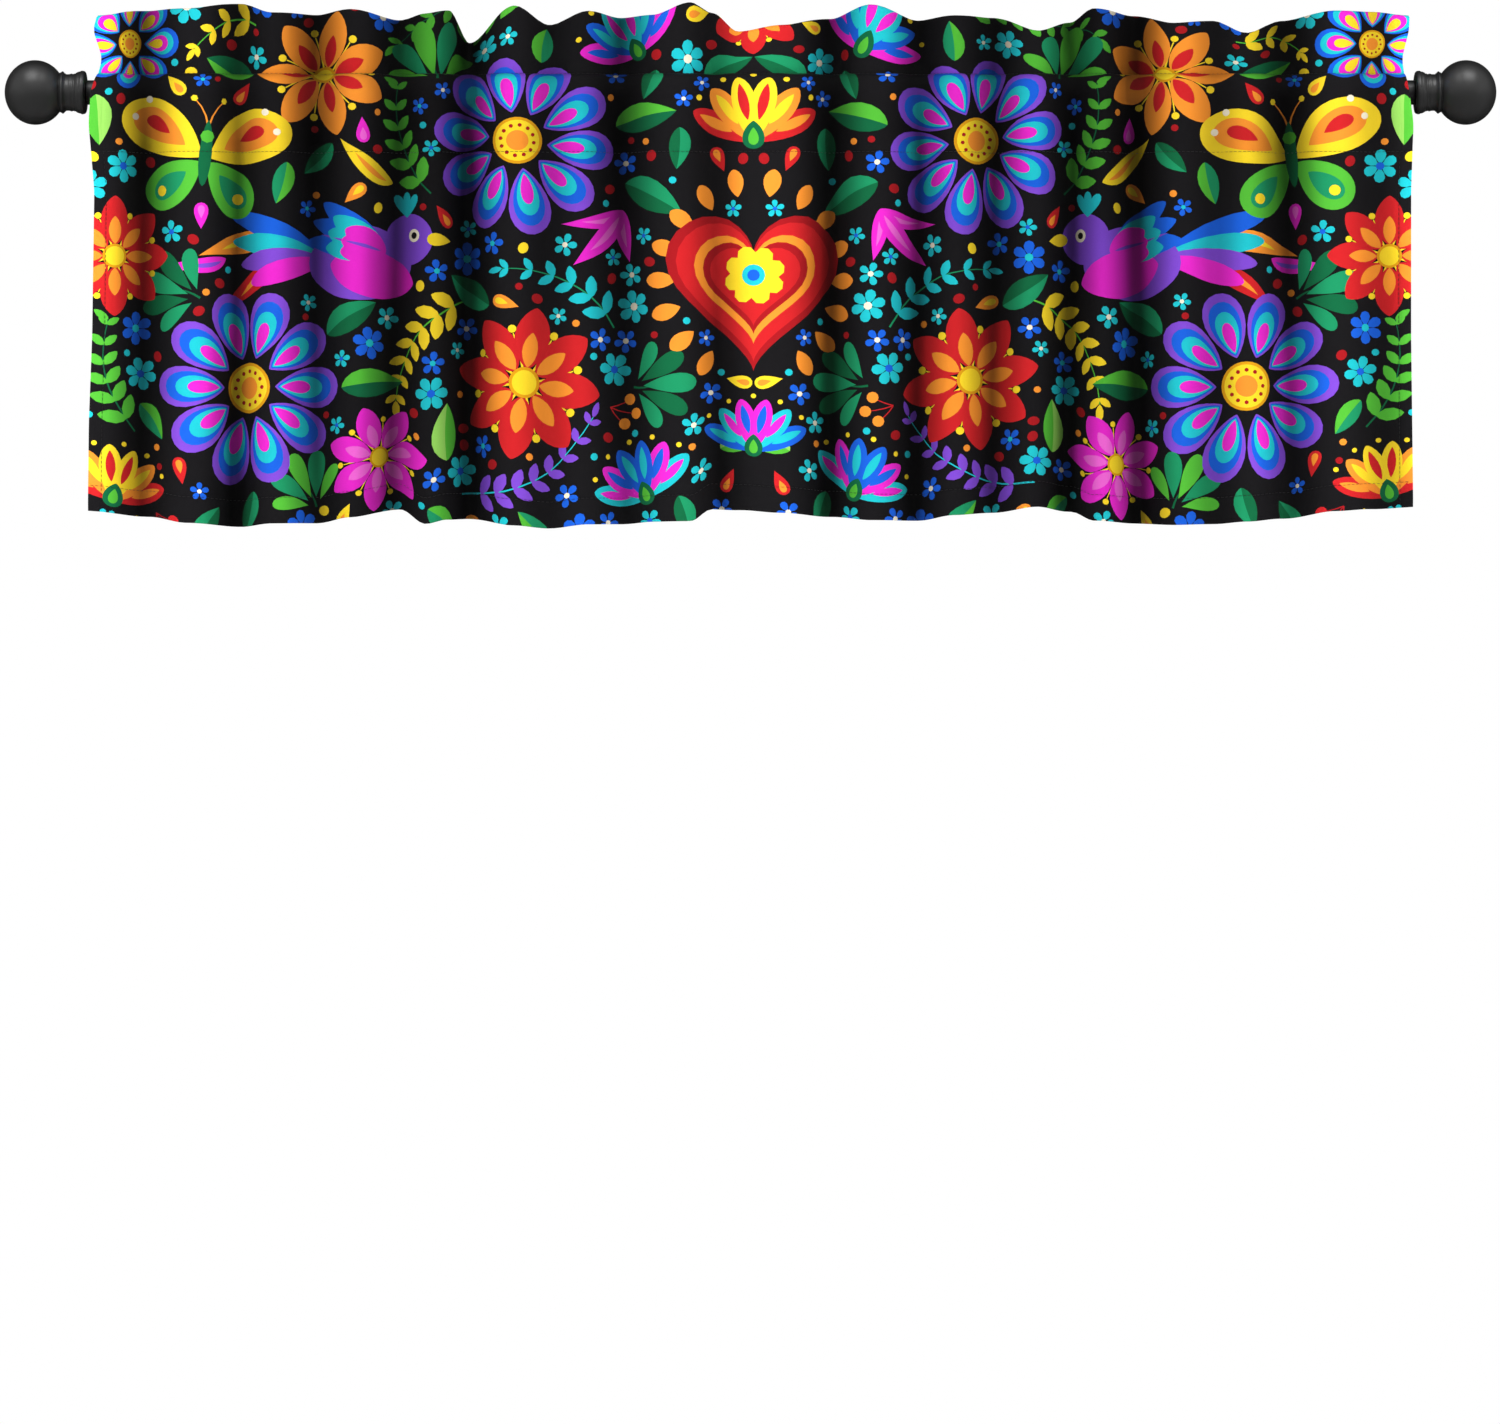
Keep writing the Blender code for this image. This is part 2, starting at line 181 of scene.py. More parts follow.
def across(x, height):
    """x once the side edges are drawn in at this height."""
    near_left = ease(1.0 - (x + HALF_WIDTH) / SIDE_REACH)
    near_right = ease(1.0 - (HALF_WIDTH - x) / SIDE_REACH)
    return x + drawn_in(height, LEFT_IN) * near_left - drawn_in(height, RIGHT_IN) * near_right


def drop_place(x, share):
    """The drop, from the hem at share 0 up to the pocket's seam at share 1."""
    flat = between(HEM_LEVEL, SEAM_LEVEL, share)
    pulled = (edge_height(x, HEM_EDGE) - HEM_LEVEL) * (1.0 - ease(share / HEM_PULL_SHARE))
    fullness = between(AT_HEM, AT_SEAM, share)
    sway = SWAY * (1.0 - share) * np.sin(2.0 * math.pi * x / SWAY_LENGTH + SWAY_START)
    back = fullness * (CREST + fold_depth(x, 1.0 - share)) + SEAM_FORWARD + sway - HALF_STACK
    return across(x, flat), back, flat + pulled


POCKET_REACH = -SEAM_LEVEL
POCKET_SIDE = math.sqrt(POCKET_REACH**2 - POCKET_RADIUS**2)
POCKET_LEAN = math.asin(POCKET_RADIUS / POCKET_REACH)
POCKET_LENGTH = POCKET_SIDE + POCKET_RADIUS * (math.pi / 2.0 + POCKET_LEAN)


def pocket_outline(share):
    """Half width and height of the pocket round the rod, from its seam to the stitch above the rod."""
    length = share * POCKET_LENGTH
    rise = np.minimum(length / POCKET_SIDE, 1.0)
    angle = np.maximum(length - POCKET_SIDE, 0.0) / POCKET_RADIUS - POCKET_LEAN
    straight = length < POCKET_SIDE
    slope_half = rise * POCKET_RADIUS * math.cos(POCKET_LEAN)
    slope_height = between(-POCKET_REACH, -POCKET_RADIUS * math.sin(POCKET_LEAN), rise)
    half = np.where(straight, slope_half, POCKET_RADIUS * np.cos(angle))
    return half, np.where(straight, slope_height, POCKET_RADIUS * np.sin(angle))


def past_rod(share, below, at_rod, above):
    """A value that goes from below the pocket's seam to the rod's middle to above the rod."""
    lower = between(below, at_rod, ease(share / AT_ROD_SHARE))
    upper = between(at_rod, above, ease((share - AT_ROD_SHARE) / (1.0 - AT_ROD_SHARE)))
    return np.where(share < AT_ROD_SHARE, lower, upper)


def pocket_place(x, share, face):
    """The pocket. face is -1 in front of the rod and +1 behind it."""
    half, height = pocket_outline(share)
    full = np.sin(math.pi * share**POCKET_FULL_POWER)
    rest = POCKET_PUSH if face < 0 else CREST
    back = past_rod(share, AT_SEAM, AT_ROD, AT_STITCH) * (CREST + fold_depth(x) - rest * full)
    back = back + past_rod(share, SEAM_FORWARD, 0.0, STITCH_FORWARD)
    back = back + face * np.maximum(half, HALF_STACK)
    push = np.maximum(POCKET_RADIUS / np.hypot(back, height), 1.0)
    return across(x, height), back * push, height * push


def header_place(x, share, face, turn=0.0):
    """The header. face is as for the pocket, or 0 over the edge, where turn goes from 0 to pi."""
    top = edge_height(x, HEADER_EDGE)
    height = between(POCKET_RADIUS, top - HALF_STACK, share)
    fullness = between(AT_STITCH, AT_HEADER_EDGE, share)
    lean = HEADER_LEAN * np.maximum(HEADER_HEIGHT - top, 0.0) * ease(share)
    back = fullness * (CREST + fold_depth(x)) + lean + STITCH_FORWARD
    back = back + (face * HALF_STACK if face else -HALF_STACK * np.cos(turn))
    height = height + (0.0 if face else HALF_STACK * np.sin(turn))
    return across(x, height), back, height


# Levels on the flat cloth, up from the hem and over.
V_SEAM = SEAM_LEVEL - HEM_LEVEL
V_STITCH = V_SEAM + POCKET_LENGTH
V_EDGE = V_STITCH + HEADER_HEIGHT - HALF_STACK - POCKET_RADIUS
V_TURNED = V_EDGE + math.pi * HALF_STACK
V_BACK_STITCH = V_TURNED + V_EDGE - V_STITCH
V_END = V_BACK_STITCH + POCKET_LENGTH


def spread_across(samples=4001, share=0.5):
    """A table from places on the flat cloth to places along the rod, at a share of the way up the drop."""
    x = np.linspace(-HALF_WIDTH, HALF_WIDTH, samples)
    along, back, _ = drop_place(x, np.full_like(x, share))
    length = np.concatenate([[0.0], np.cumsum(np.hypot(np.diff(along), np.diff(back)))])
    return FLAT_WIDTH * (length / length[-1] - 0.5), x


SPREAD_U, SPREAD_X = spread_across()


def hang(u, v):
    """Where the points (u, v) of the flat cloth's printed face hang."""
    x = np.interp(u, SPREAD_U, SPREAD_X)
    header = V_EDGE - V_STITCH
    stretches = (
        (-math.inf, V_SEAM, lambda x, v: drop_place(x, v / V_SEAM)),
        (V_SEAM, V_STITCH, lambda x, v: pocket_place(x, (v - V_SEAM) / POCKET_LENGTH, -1)),
        (V_STITCH, V_EDGE, lambda x, v: header_place(x, (v - V_STITCH) / header, -1)),
        (V_EDGE, V_TURNED, lambda x, v: header_place(x, 1.0, 0, (v - V_EDGE) / HALF_STACK)),
        (V_TURNED, V_BACK_STITCH, lambda x, v: header_place(x, (V_BACK_STITCH - v) / header, 1)),
        (V_BACK_STITCH, math.inf,
         lambda x, v: pocket_place(x, np.maximum(V_END - v, 0.0) / POCKET_LENGTH, 1)),
    )
    points = np.empty((len(u), 3))
    for low, high, place in stretches:
        here = (v >= low) & (v < high)
        if here.any():
            points[here] = np.stack(place(x[here], v[here]), axis=1)
    return points


def unit(vectors):
    return vectors / np.linalg.norm(vectors, axis=1, keepdims=True)


def hang_with_normals(u, v, step=0.0004):
    """The hung points and the directions that the printed face looks in."""
    along = hang(np.minimum(u + step, HALF_FLAT), v) - hang(np.maximum(u - step, -HALF_FLAT), v)
    upward = hang(u, np.minimum(v + step, V_END)) - hang(u, np.maximum(v - step, 0.0))
    return hang(u, v), unit(np.cross(along, upward))


# ---------------------------------------------------------------- the print
# Printing inks, as sRGB values.
INKS = {
    "black": (24, 23, 25),
    "purple": (130, 76, 210),
    "blue": (28, 98, 220),
    "turquoise": (34, 196, 206),
    "magenta": (234, 42, 204),
    "pink": (242, 104, 214),
    "red": (206, 36, 40),
    "dark red": (168, 26, 32),
    "orange": (250, 150, 50),
    "yellow": (252, 218, 44),
    "gold": (226, 160, 24),
    "green": (86, 188, 58),
    "leaf": (30, 148, 98),
    "forest": (18, 104, 64),
    "mint": (150, 214, 96),
    "cream": (250, 240, 214),
}


def turned(points, angle):
    cosine, sine = math.cos(angle), math.sin(angle)
    return np.column_stack(
        [points[:, 0] * cosine - points[:, 1] * sine, points[:, 0] * sine + points[:, 1] * cosine]
    )


def placed(shapes, x=0.0, y=0.0, angle=0.0, size=1.0, flip=False):
    """Shapes, each an (ink, outline) pair, flipped, sized, turned by degrees and moved."""
    scale = (size, -size if flip else size)
    return [(ink, turned(points * scale, math.radians(angle)) + (x, y)) for ink, points in shapes]


def blob(length, width, base=0.0, tip=0.0, bend=0.0, steps=7, start=0.0):
    """A petal or leaf along +X from start. base and tip are 0 for a round end and 1 or more for a point."""
    turn = np.linspace(0.0, math.pi, steps + 1)
    half = np.sin(turn) * np.sin(turn / 2.0) ** base * np.cos(turn / 2.0) ** tip
    half *= width / 2.0 / half.max()
    along = length * (1.0 - np.cos(turn)) / 2.0
    x = np.concatenate([along, along[-2:0:-1]])
    y = np.concatenate([half, -half[-2:0:-1]])
    return np.column_stack([x + start, y + bend * x * x / length])


def disc(radius, steps=10, x=0.0, y=0.0, squash=1.0):
    turn = np.arange(steps) * 2.0 * math.pi / steps
    return np.column_stack([x + radius * np.cos(turn), y + squash * radius * np.sin(turn)])


def around(ink, outline, count, start=0.0):
    """Copies of one shape, turned evenly round the middle."""
    return [(ink, turned(outline, math.radians(start + 360.0 * copy / count))) for copy in range(count)]


def ribbon(points, width):
    """A thin stem along a line of points, narrower towards its end."""
    side = unit(np.gradient(points, axis=0))[:, ::-1] * (-1.0, 1.0)
    half = width / 2.0 * np.linspace(1.0, 0.45, len(points))[:, None]
    return np.concatenate([points + side * half, (points - side * half)[::-1]])


def arch(length, rise, steps=9):
    """A line from the origin along +X that bows to +Y by rise."""
    share = np.linspace(0.0, 1.0, steps)
    return np.column_stack([length * share, 4.0 * rise * share * (1.0 - share)])


# The motifs are drawn with a radius or length of 1, apart from the sprig.
def rosette(petals=10, inks=("purple", "blue", "turquoise", "magenta")):
    """A round flower of separate petals, each with three more inside it, and a beaded middle."""
    shapes = []
    pitch = 2.0 * math.pi / petals
    tiers = ((1.0, 0.82, 0.30), (0.91, 0.62, 0.32), (0.80, 0.44, 0.34), (0.68, 0.25, 0.36))
    for ink, (reach, width, start) in zip(inks, tiers):
        petal = blob(reach - start, pitch * 0.8 * width, 0.7, 0.0, 0.0, 11, start)
        shapes += around(ink, petal, petals)
    shapes += [("gold", disc(0.25, 28)), ("yellow", disc(0.22, 28))]
    shapes += around("dark red", disc(0.022, 6, 0.165), 12)
    return shapes + [("orange", disc(0.11, 20))]


def star_flower(petals, inks=("red", "orange", "yellow")):
    """A flower of pointed petals with a slim one inside each and a thread with a bead between them."""
    between_petals = 180.0 / petals
    shapes = around(inks[2], ribbon(arch(0.66, 0.02, 4), 0.035), petals, between_petals)
    shapes += around(inks[2], disc(0.055, 9, 0.72), petals, between_petals)
    shapes += around(inks[0], blob(0.82, 0.46, 0.5, 0.45, 0.0, 12, 0.18), petals)
    shapes += around(inks[1], blob(0.46, 0.2, 0.6, 0.6, 0.0, 9, 0.2), petals)
    return shapes + [("gold", disc(0.2, 24)), (inks[2], disc(0.16, 22))]


def fan_flower(inks=("magenta", "blue", "turquoise")):
    """A flower seen from the side: a fan of petals over a green cup, along +X."""
    shapes = []
    petal = blob(1.0, 0.34, 0.9, 0.25, 0.0, 12)
    inner_petal = blob(0.55, 0.14, 0.7, 0.7, 0.0, 9, 0.34)
    for row, angle in enumerate((-62.0, 62.0, -37.0, 37.0, -12.5, 12.5)):
        pair = [(inks[row // 2], petal), (inks[(row // 2 + 1) % 3], inner_petal)]
        shapes += placed(pair, angle=angle)
    for angle in (-50.0, -25.0, 0.0, 25.0, 50.0):
        shapes += placed([("yellow", disc(0.045, 9, 1.04))], angle=angle)
    shapes.append(("forest", blob(0.42, 0.3, 0.0, 0.6, 0.0, 11, -0.1)))
    return shapes + [("green", blob(0.26, 0.14, 0.0, 0.8, 0.0, 9, -0.04))]


def leaf(inks=("leaf", "forest")):
    """A leaf along +X in two tones, one on each side of its rib."""
    bend = 0.15
    whole = blob(1.0, 0.47, 0.4, 0.9, bend, 10)
    half = whole[: len(whole) // 2 + 1]
    rib = np.column_stack([half[:, 0], bend * half[:, 0] ** 2])[::-1]
    return [(inks[0], whole), (inks[1], np.concatenate([half, rib[1:-1]]))]


def sprig(length, rise, pairs, inks, leaf_length):
    """A bowed stem with leaves in pairs, shorter towards its tip. inks are the leaves' and the stem's."""
    shapes = [(inks[1], ribbon(arch(length, rise, 11), 0.0016))]
    leaflet = [(inks[0], blob(1.0, 0.5, 0.5, 0.6, 0.0, 5))]
    for pair in range(pairs):
        share = 0.12 + 0.84 * pair / (pairs - 1)
        x, y = length * share, 4.0 * rise * share * (1.0 - share)
        heading = math.degrees(math.atan2(4.0 * rise * (1.0 - 2.0 * share), length))
        size = leaf_length * (1.0 - 0.55 * share)
        for side in (-1.0, 1.0):
            shapes += placed(leaflet, x, y, heading + side * 48.0, size)
    end_leaf = [(inks[0], blob(0.6, 0.24, 0.5, 0.6, 0.0, 5))]
    return shapes + placed(end_leaf, length, 0.0, -40.0, leaf_length)


def plume(ink, second, bend):
    """A curved feather along +X with a slim second ink down its middle."""
    return [(ink, blob(1.0, 0.29, 0.5, 1.2, bend, 13)), (second, blob(0.62, 0.09, 0.8, 1.0, bend, 9, 0.1))]


def tuft(ink, second):
    """Three feathers from one point, the middle one longest."""
    shapes = placed(plume(ink, second, 0.5), angle=22.0, size=0.78)
    shapes += placed(plume(ink, second, -0.2), angle=-24.0, size=0.7)
    return shapes + plume(ink, second, 0.25)


def leaf_fan(inks=("green", "leaf")):
    """Round-tipped leaves spread from one point, along +X, on a short stem."""
    shapes = [("forest", ribbon(arch(0.4, 0.03, 5), 0.035))]
    for row, share in enumerate((-0.5, -0.25, 0.0, 0.25, 0.5)):
        one = blob(0.82, 0.31, 1.3, 0.0, 0.25 * share, 11, 0.18)
        shapes += placed([(inks[row % 2], one)], angle=104.0 * share, size=1.0 - 0.9 * share * share)
    return shapes


def drop(ink, second):
    """A drop along +X with a smaller one in it."""
    return [(ink, blob(1.0, 0.5, 1.3, 0.0, 0.0, 9)), (second, blob(0.5, 0.24, 1.3, 0.0, 0.0, 7, 0.4))]


def floret(ink, middle, petals=5):
    petal = blob(0.86, 0.6, 0.7, 0.0, 0.0, 5, 0.14)
    return around(ink, petal, petals, 18.0) + [(middle, disc(0.24, 8))]


def berries(ink, stem):
    """Three berries on a forked stem, along +X. The stem is 1.1 mm thick on a spray 24.65 mm long."""
    shapes = []
    thick = 1.1 / 24.65
    for angle, reach in ((-34.0, 0.78), (0.0, 1.0), (34.0, 0.78)):
        shapes += placed([(stem, ribbon(arch(reach, 0.04, 4), thick))], angle=angle)
        way = math.radians(angle)
        shapes.append((ink, disc(0.2, 11, reach * math.cos(way), reach * math.sin(way))))
    return shapes


def heart():
    """A folk heart of nested hearts with a flower in it and a row of petals round it."""
    shapes = []
    for angle in range(-150, 151, 20):
        way = math.radians(90.0 + angle)
        reach = 1.04 - 0.1 * abs(math.cos(way))
        petal = [("orange" if angle % 40 else "yellow", blob(0.34, 0.2, 0.8, 0.3, 0.0, 9))]
        shapes += placed(petal, reach * math.cos(way), reach * math.sin(way), 90.0 + angle)
    turn = np.arange(44) * 2.0 * math.pi / 44
    y = 13.0 * np.cos(turn) - 5.0 * np.cos(2.0 * turn) - 2.0 * np.cos(3.0 * turn) - np.cos(4.0 * turn)
    outline = np.column_stack([16.0 * np.sin(turn) ** 3, y]) / 17.0
    layers = ((1.12, "dark red"), (1.0, "red"), (0.78, "orange"), (0.66, "dark red"), (0.56, "red"))
    shapes += [(ink, outline * share) for share, ink in layers]
    shapes += placed(floret("yellow", "magenta", 8), 0.0, 0.06, size=0.36)
    return shapes + placed([("turquoise", disc(0.13, 16)), ("blue", disc(0.07, 12))], 0.0, 0.06)


def songbird():
    """A plump bird looking along +X, with its wing closed and its tail lifted."""
    body, breast, wing, light = "purple", "magenta", "blue", "turquoise"
    shapes = []
    for row, (ink, angle) in enumerate(((wing, 150.0), (light, 163.0), (body, 176.0), (breast, 189.0))):
        shapes += placed([(ink, blob(0.62 - 0.05 * row, 0.12, 0.8, 0.15, 0.12, 12))], -0.2, 0.02, angle)
    shapes.append((body, disc(0.3, 36, -0.02, 0.0, 0.68)))
    shapes.append((breast, turned(blob(0.5, 0.26, 0.4, 0.4, 0.0, 18, -0.2), -0.22) - (0.0, 0.05)))
    shapes += placed([(body, disc(0.14, 28))], 0.27, 0.13)
    shapes += placed([("yellow", blob(0.13, 0.07, 0.0, 1.0, 0.0, 8))], 0.38, 0.13, -6.0)
    shapes += placed([("cream", disc(0.036, 14)), ("black", disc(0.019, 10))], 0.3, 0.15)
    for angle in (62.0, 90.0, 118.0):
        shapes += placed([(light, blob(0.14, 0.05, 1.0, 0.0, 0.0, 7))], 0.25, 0.25, angle)
    for row, (ink, length) in enumerate(((wing, 0.46), (light, 0.36), (breast, 0.26))):
        for lift in (0.0, 14.0, 28.0):
            feather = [(ink, blob(length, 0.13, 0.3, 0.3, 0.0, 11))]
            shapes += placed(feather, 0.13, 0.06, 172.0 - lift + 4.0 * row)
        shapes += placed([(body, blob(length * 0.8, 0.02, 0.5, 0.5, 0.0, 4))], 0.1, 0.065, 165.0)
    return shapes


def butterfly():
    """A butterfly seen from above, its head along +Y."""
    upper, inner, lower = "yellow", "orange", "green"
    shapes = []
    for side in (-1.0, 1.0):
        bend = -side * 0.12
        lower_wing = [
            (lower, blob(0.56, 0.36, 0.7, 0.0, 0.0, 16)),
            ("leaf", blob(0.34, 0.18, 0.7, 0.0, 0.0, 11, 0.14)),
            ("yellow", disc(0.045, 12, 0.4)),
        ]
        upper_wing = [
            (upper, blob(0.78, 0.46, 0.8, 0.1, bend, 18)),
            (inner, blob(0.52, 0.27, 0.8, 0.0, bend, 15, 0.16)),
            ("red", blob(0.26, 0.12, 0.8, 0.0, bend, 10, 0.32)),
            ("cream", disc(0.03, 10, 0.66, 0.1)),
            ("cream", disc(0.03, 10, 0.66, -0.09)),
        ]
        feeler = [(inner, ribbon(arch(0.34, side * 0.04, 5), 0.018)), (upper, disc(0.028, 6, 0.34))]
        shapes += placed(lower_wing, side * 0.03, -0.02, 90.0 - side * 132.0)
        shapes += placed(upper_wing, side * 0.03, 0.02, 90.0 - side * 56.0)
        shapes += placed(feeler, 0.0, 0.2, 90.0 - side * 22.0)
    shapes.append(("forest", turned(blob(0.56, 0.1, 0.1, 0.3, 0.0, 8, -0.22), math.pi / 2.0)))
    return shapes + [(lower, disc(0.055, 8, 0.0, 0.2))]


def right_half():
    """The placed motifs of the print's right half, in drawing order."""
    fresh, deep, pale = ("green", "forest"), ("leaf", "forest"), ("mint", "green")
    gold_leaf, teal_leaf = ("yellow", "green"), ("turquoise", "leaf")
    cool = ("blue", "turquoise", "magenta", "yellow")
    pink_star = ("magenta", "pink", "yellow")
    # x from the middle, y up from the hem, angle, length, rise, pairs of leaves, inks, leaf length
    sprigs = (
        (0.262, 0.196, -52.0, 0.120, 0.020, 7, gold_leaf, 0.026),
        (0.300, 0.290, 72.0, 0.106, -0.014, 6, fresh, 0.025),
        (0.586, 0.076, 76.0, 0.104, -0.014, 6, fresh, 0.025),
        (0.126, 0.170, 28.0, 0.112, 0.016, 6, teal_leaf, 0.023),
        (0.468, 0.450, -18.0, 0.064, 0.010, 4, gold_leaf, 0.020),
        (0.268, 0.022, 150.0, 0.140, 0.020, 8, ("purple", "turquoise"), 0.023),
        (0.190, 0.470, -12.0, 0.150, 0.018, 8, fresh, 0.024),
        (0.376, 0.500, 24.0, 0.088, 0.014, 5, gold_leaf, 0.024),
    )
    # x, y, angle, size and shapes
    motifs = (
        (0.116, 0.300, 200.0, 0.058, leaf(deep)),
        (0.124, 0.352, 158.0, 0.056, leaf(fresh)),
        (0.238, 0.190, 24.0, 0.050, leaf(deep)),
        (0.386, 0.116, 168.0, 0.056, leaf(fresh)),
        (0.402, 0.164, 140.0, 0.054, leaf(deep)),
        (0.470, 0.402, 14.0, 0.052, leaf(fresh)),
        (0.620, 0.380, 258.0, 0.046, leaf(pale)),
        (0.286, 0.052, 82.0, 0.050, leaf(pale)),
        (0.044, 0.404, 140.0, 0.050, leaf(deep)),
        (0.030, 0.056, 150.0, 0.046, leaf(pale)),
        (0.452, 0.246, 10.0, 0.070, plume("orange", "yellow", -0.35)),
        (0.446, 0.222, -16.0, 0.062, plume("red", "orange", -0.30)),
        (0.338, 0.300, 20.0, 0.060, plume("yellow", "orange", 0.35)),
        (0.500, 0.232, 332.0, 0.050, plume("magenta", "purple", 0.4)),
        (0.118, 0.276, -62.0, 0.066, tuft("magenta", "pink")),
        (0.294, 0.396, 74.0, 0.064, leaf_fan()),
        (0.524, 0.196, 20.0, 0.058, leaf_fan(deep)),
        (0.108, 0.118, 176.0, 0.056, leaf_fan(deep)),
        (0.412, 0.014, 62.0, 0.052, leaf_fan()),
        (0.212, 0.338, 8.0, 0.086, rosette()),
        (0.476, 0.118, 0.0, 0.086, rosette()),
        (0.592, 0.436, 0.0, 0.050, rosette(8, cool)),
        (0.206, 0.122, 10.0, 0.066, star_flower(8)),
        (0.404, 0.404, 0.0, 0.062, star_flower(7, ("orange", "red", "yellow"))),
        (0.352, 0.050, 20.0, 0.049, star_flower(7, pink_star)),
        (0.606, 0.234, 0.0, 0.054, star_flower(8)),
        (0.102, 0.428, 62.0, 0.056, fan_flower()),
        (0.094, 0.020, 70.0, 0.052, fan_flower(("turquoise", "magenta", "blue"))),
        (0.606, 0.010, 100.0, 0.052, fan_flower(("red", "orange", "yellow"))),
        (0.300, 0.530, 0.0, 0.060, rosette(8, cool)),
        (0.520, 0.545, 0.0, 0.056, star_flower(8)),
        (0.140, 0.556, 0.0, 0.050, star_flower(7, pink_star)),
    )
    groups = [placed(sprig(*form), x, y, angle) for x, y, angle, *form in sprigs]
    groups += [placed(shapes, x, y, angle, size) for x, y, angle, size, shapes in motifs]
    groups.append(placed(songbird(), 0.366, 0.228, 180.0, 0.165, flip=True))
    groups.append(placed(butterfly(), 0.520, 0.320, 6.0, 0.108))
    return groups


def middle():
    """The motifs on the print's middle line, each the same on both sides of it."""
    motifs = (
        (0.212, 0.0, 0.074, heart()),
        (0.336, 90.0, 0.062, fan_flower(("red", "orange", "yellow"))),
        (0.054, 90.0, 0.050, fan_flower(("blue", "turquoise", "magenta"))),
        (0.480, 0.0, 0.046, star_flower(8)),
        (0.575, 0.0, 0.048, rosette(8)),
    )
    return [placed(shapes, 0.0, y, angle, size) for y, angle, size, shapes in motifs]


GROUND_CELL = 0.002
# How far the ground's cells start before the print's corner, and reach past its far one from there.
GROUND_MARGIN = (0.01, 0.02)
GROUND_ROOM = (0.03, 0.04)
PRINT_HALF = HALF_FLAT / PRINT_STRETCH
FILLER_SEED = 11
FILLER_GAP = 0.0022
# How far past the side and past the ends of the cloth a small motif's middle may lie.
PAST_SIDE, PAST_END = 0.004, 0.006


def inside(points, outline):
    """Which points lie inside a closed outline."""
    x, y = points.T
    within = np.zeros(len(points), bool)
    for (x0, y0), (x1, y1) in zip(outline, np.roll(outline, -1, axis=0)):
        if y0 != y1:
            within ^= ((y0 > y) != (y1 > y)) & (x < (x1 - x0) * (y - y0) / (y1 - y0) + x0)
    return within


class Ground:
    """The black ground of the print's right half, as cells that are free or taken."""

    def __init__(self):
        reach = np.array((PRINT_HALF, V_END)) + GROUND_ROOM
        self.taken = np.zeros((reach / GROUND_CELL).astype(int), bool)

    def cells(self, low, high):
        """The cells between two corners, and their middles."""
        first = np.maximum(np.floor((np.array(low) + GROUND_MARGIN) / GROUND_CELL).astype(int), 0)
        last = np.ceil((np.array(high) + GROUND_MARGIN) / GROUND_CELL).astype(int) + 1
        last = np.maximum(np.minimum(last, self.taken.shape), first)
        cells = np.mgrid[first[0]:last[0], first[1]:last[1]].reshape(2, -1)
        return *cells, cells.T * GROUND_CELL + GROUND_CELL / 2.0 - GROUND_MARGIN

    def take(self, outline):
        i, j, places = self.cells(outline.min(axis=0), outline.max(axis=0))
        covered = inside(places, outline)
        self.taken[i[covered], j[covered]] = True

    def is_free(self, x, y, radius):
        i, j, places = self.cells((x - radius, y - radius), (x + radius, y + radius))
        near = np.hypot(places[:, 0] - x, places[:, 1] - y) < radius
        return not self.taken[i[near], j[near]].any()


def fillers(ground, chance):
    """Small motifs wherever the ground is still bare, the largest first."""
    leaves = (("leaf", "forest"), ("green", "leaf"))
    cool = (("turquoise", "blue"), ("blue", "turquoise"), ("turquoise", "cream"), ("blue", "cream"))
    bright = (("yellow", "red"), ("red", "dark red"), ("turquoise", "forest"), ("orange", "red"))
    drops = (("orange", "yellow"), ("yellow", "orange"), ("red", "orange"), ("magenta", "pink"))
    warm, mixed = ("dark red", "dark red", "yellow"), ("dark red", "turquoise", "orange")
    # radius, tries, the motif, and its size and how far back it starts, as shares of the radius
    kinds = (
        (0.0190, 500, lambda: leaf(chance.choice(leaves)), 2.0, 1.0),
        (0.0150, 700, lambda: floret(*chance.choice(cool), 6), 1.0, 0.0),
        (0.0145, 700, lambda: berries(*chance.choice(bright)), 1.7, 0.85),
        (0.0125, 900, lambda: drop(*chance.choice(drops)), 1.9, 0.95),
        (0.0105, 1600, lambda: floret(*chance.choice(cool)), 1.0, 0.0),
        (0.0080, 2200, lambda: floret(*chance.choice(cool)), 1.0, 0.0),
        (0.0066, 2000, lambda: [(chance.choice(warm), disc(0.78, 12, squash=0.84))], 1.0, 0.0),
        (0.0046, 700, lambda: [(chance.choice(mixed), disc(0.7, 9))], 1.0, 0.0),
    )
    groups = []
    for radius, tries, make, size, back in kinds:
        for _ in range(tries):
            x = chance.uniform(radius, PRINT_HALF + PAST_SIDE)
            y = chance.uniform(-PAST_END, V_END + PAST_END)
            if not ground.is_free(x, y, radius + FILLER_GAP):
                continue
            angle = chance.uniform(0.0, 360.0)
            way = math.radians(angle)
            start = (x - back * radius * math.cos(way), y - back * radius * math.sin(way))
            groups.append(placed(make(), *start, angle, radius * size))
            ground.take(disc(radius, 14, x, y))
    return groups


def area_of(outline):
    """An outline's area, above 0 where it runs counter-clockwise."""
    x, y = outline.T
    return (x * np.roll(y, -1) - y * np.roll(x, -1)).sum() / 2.0


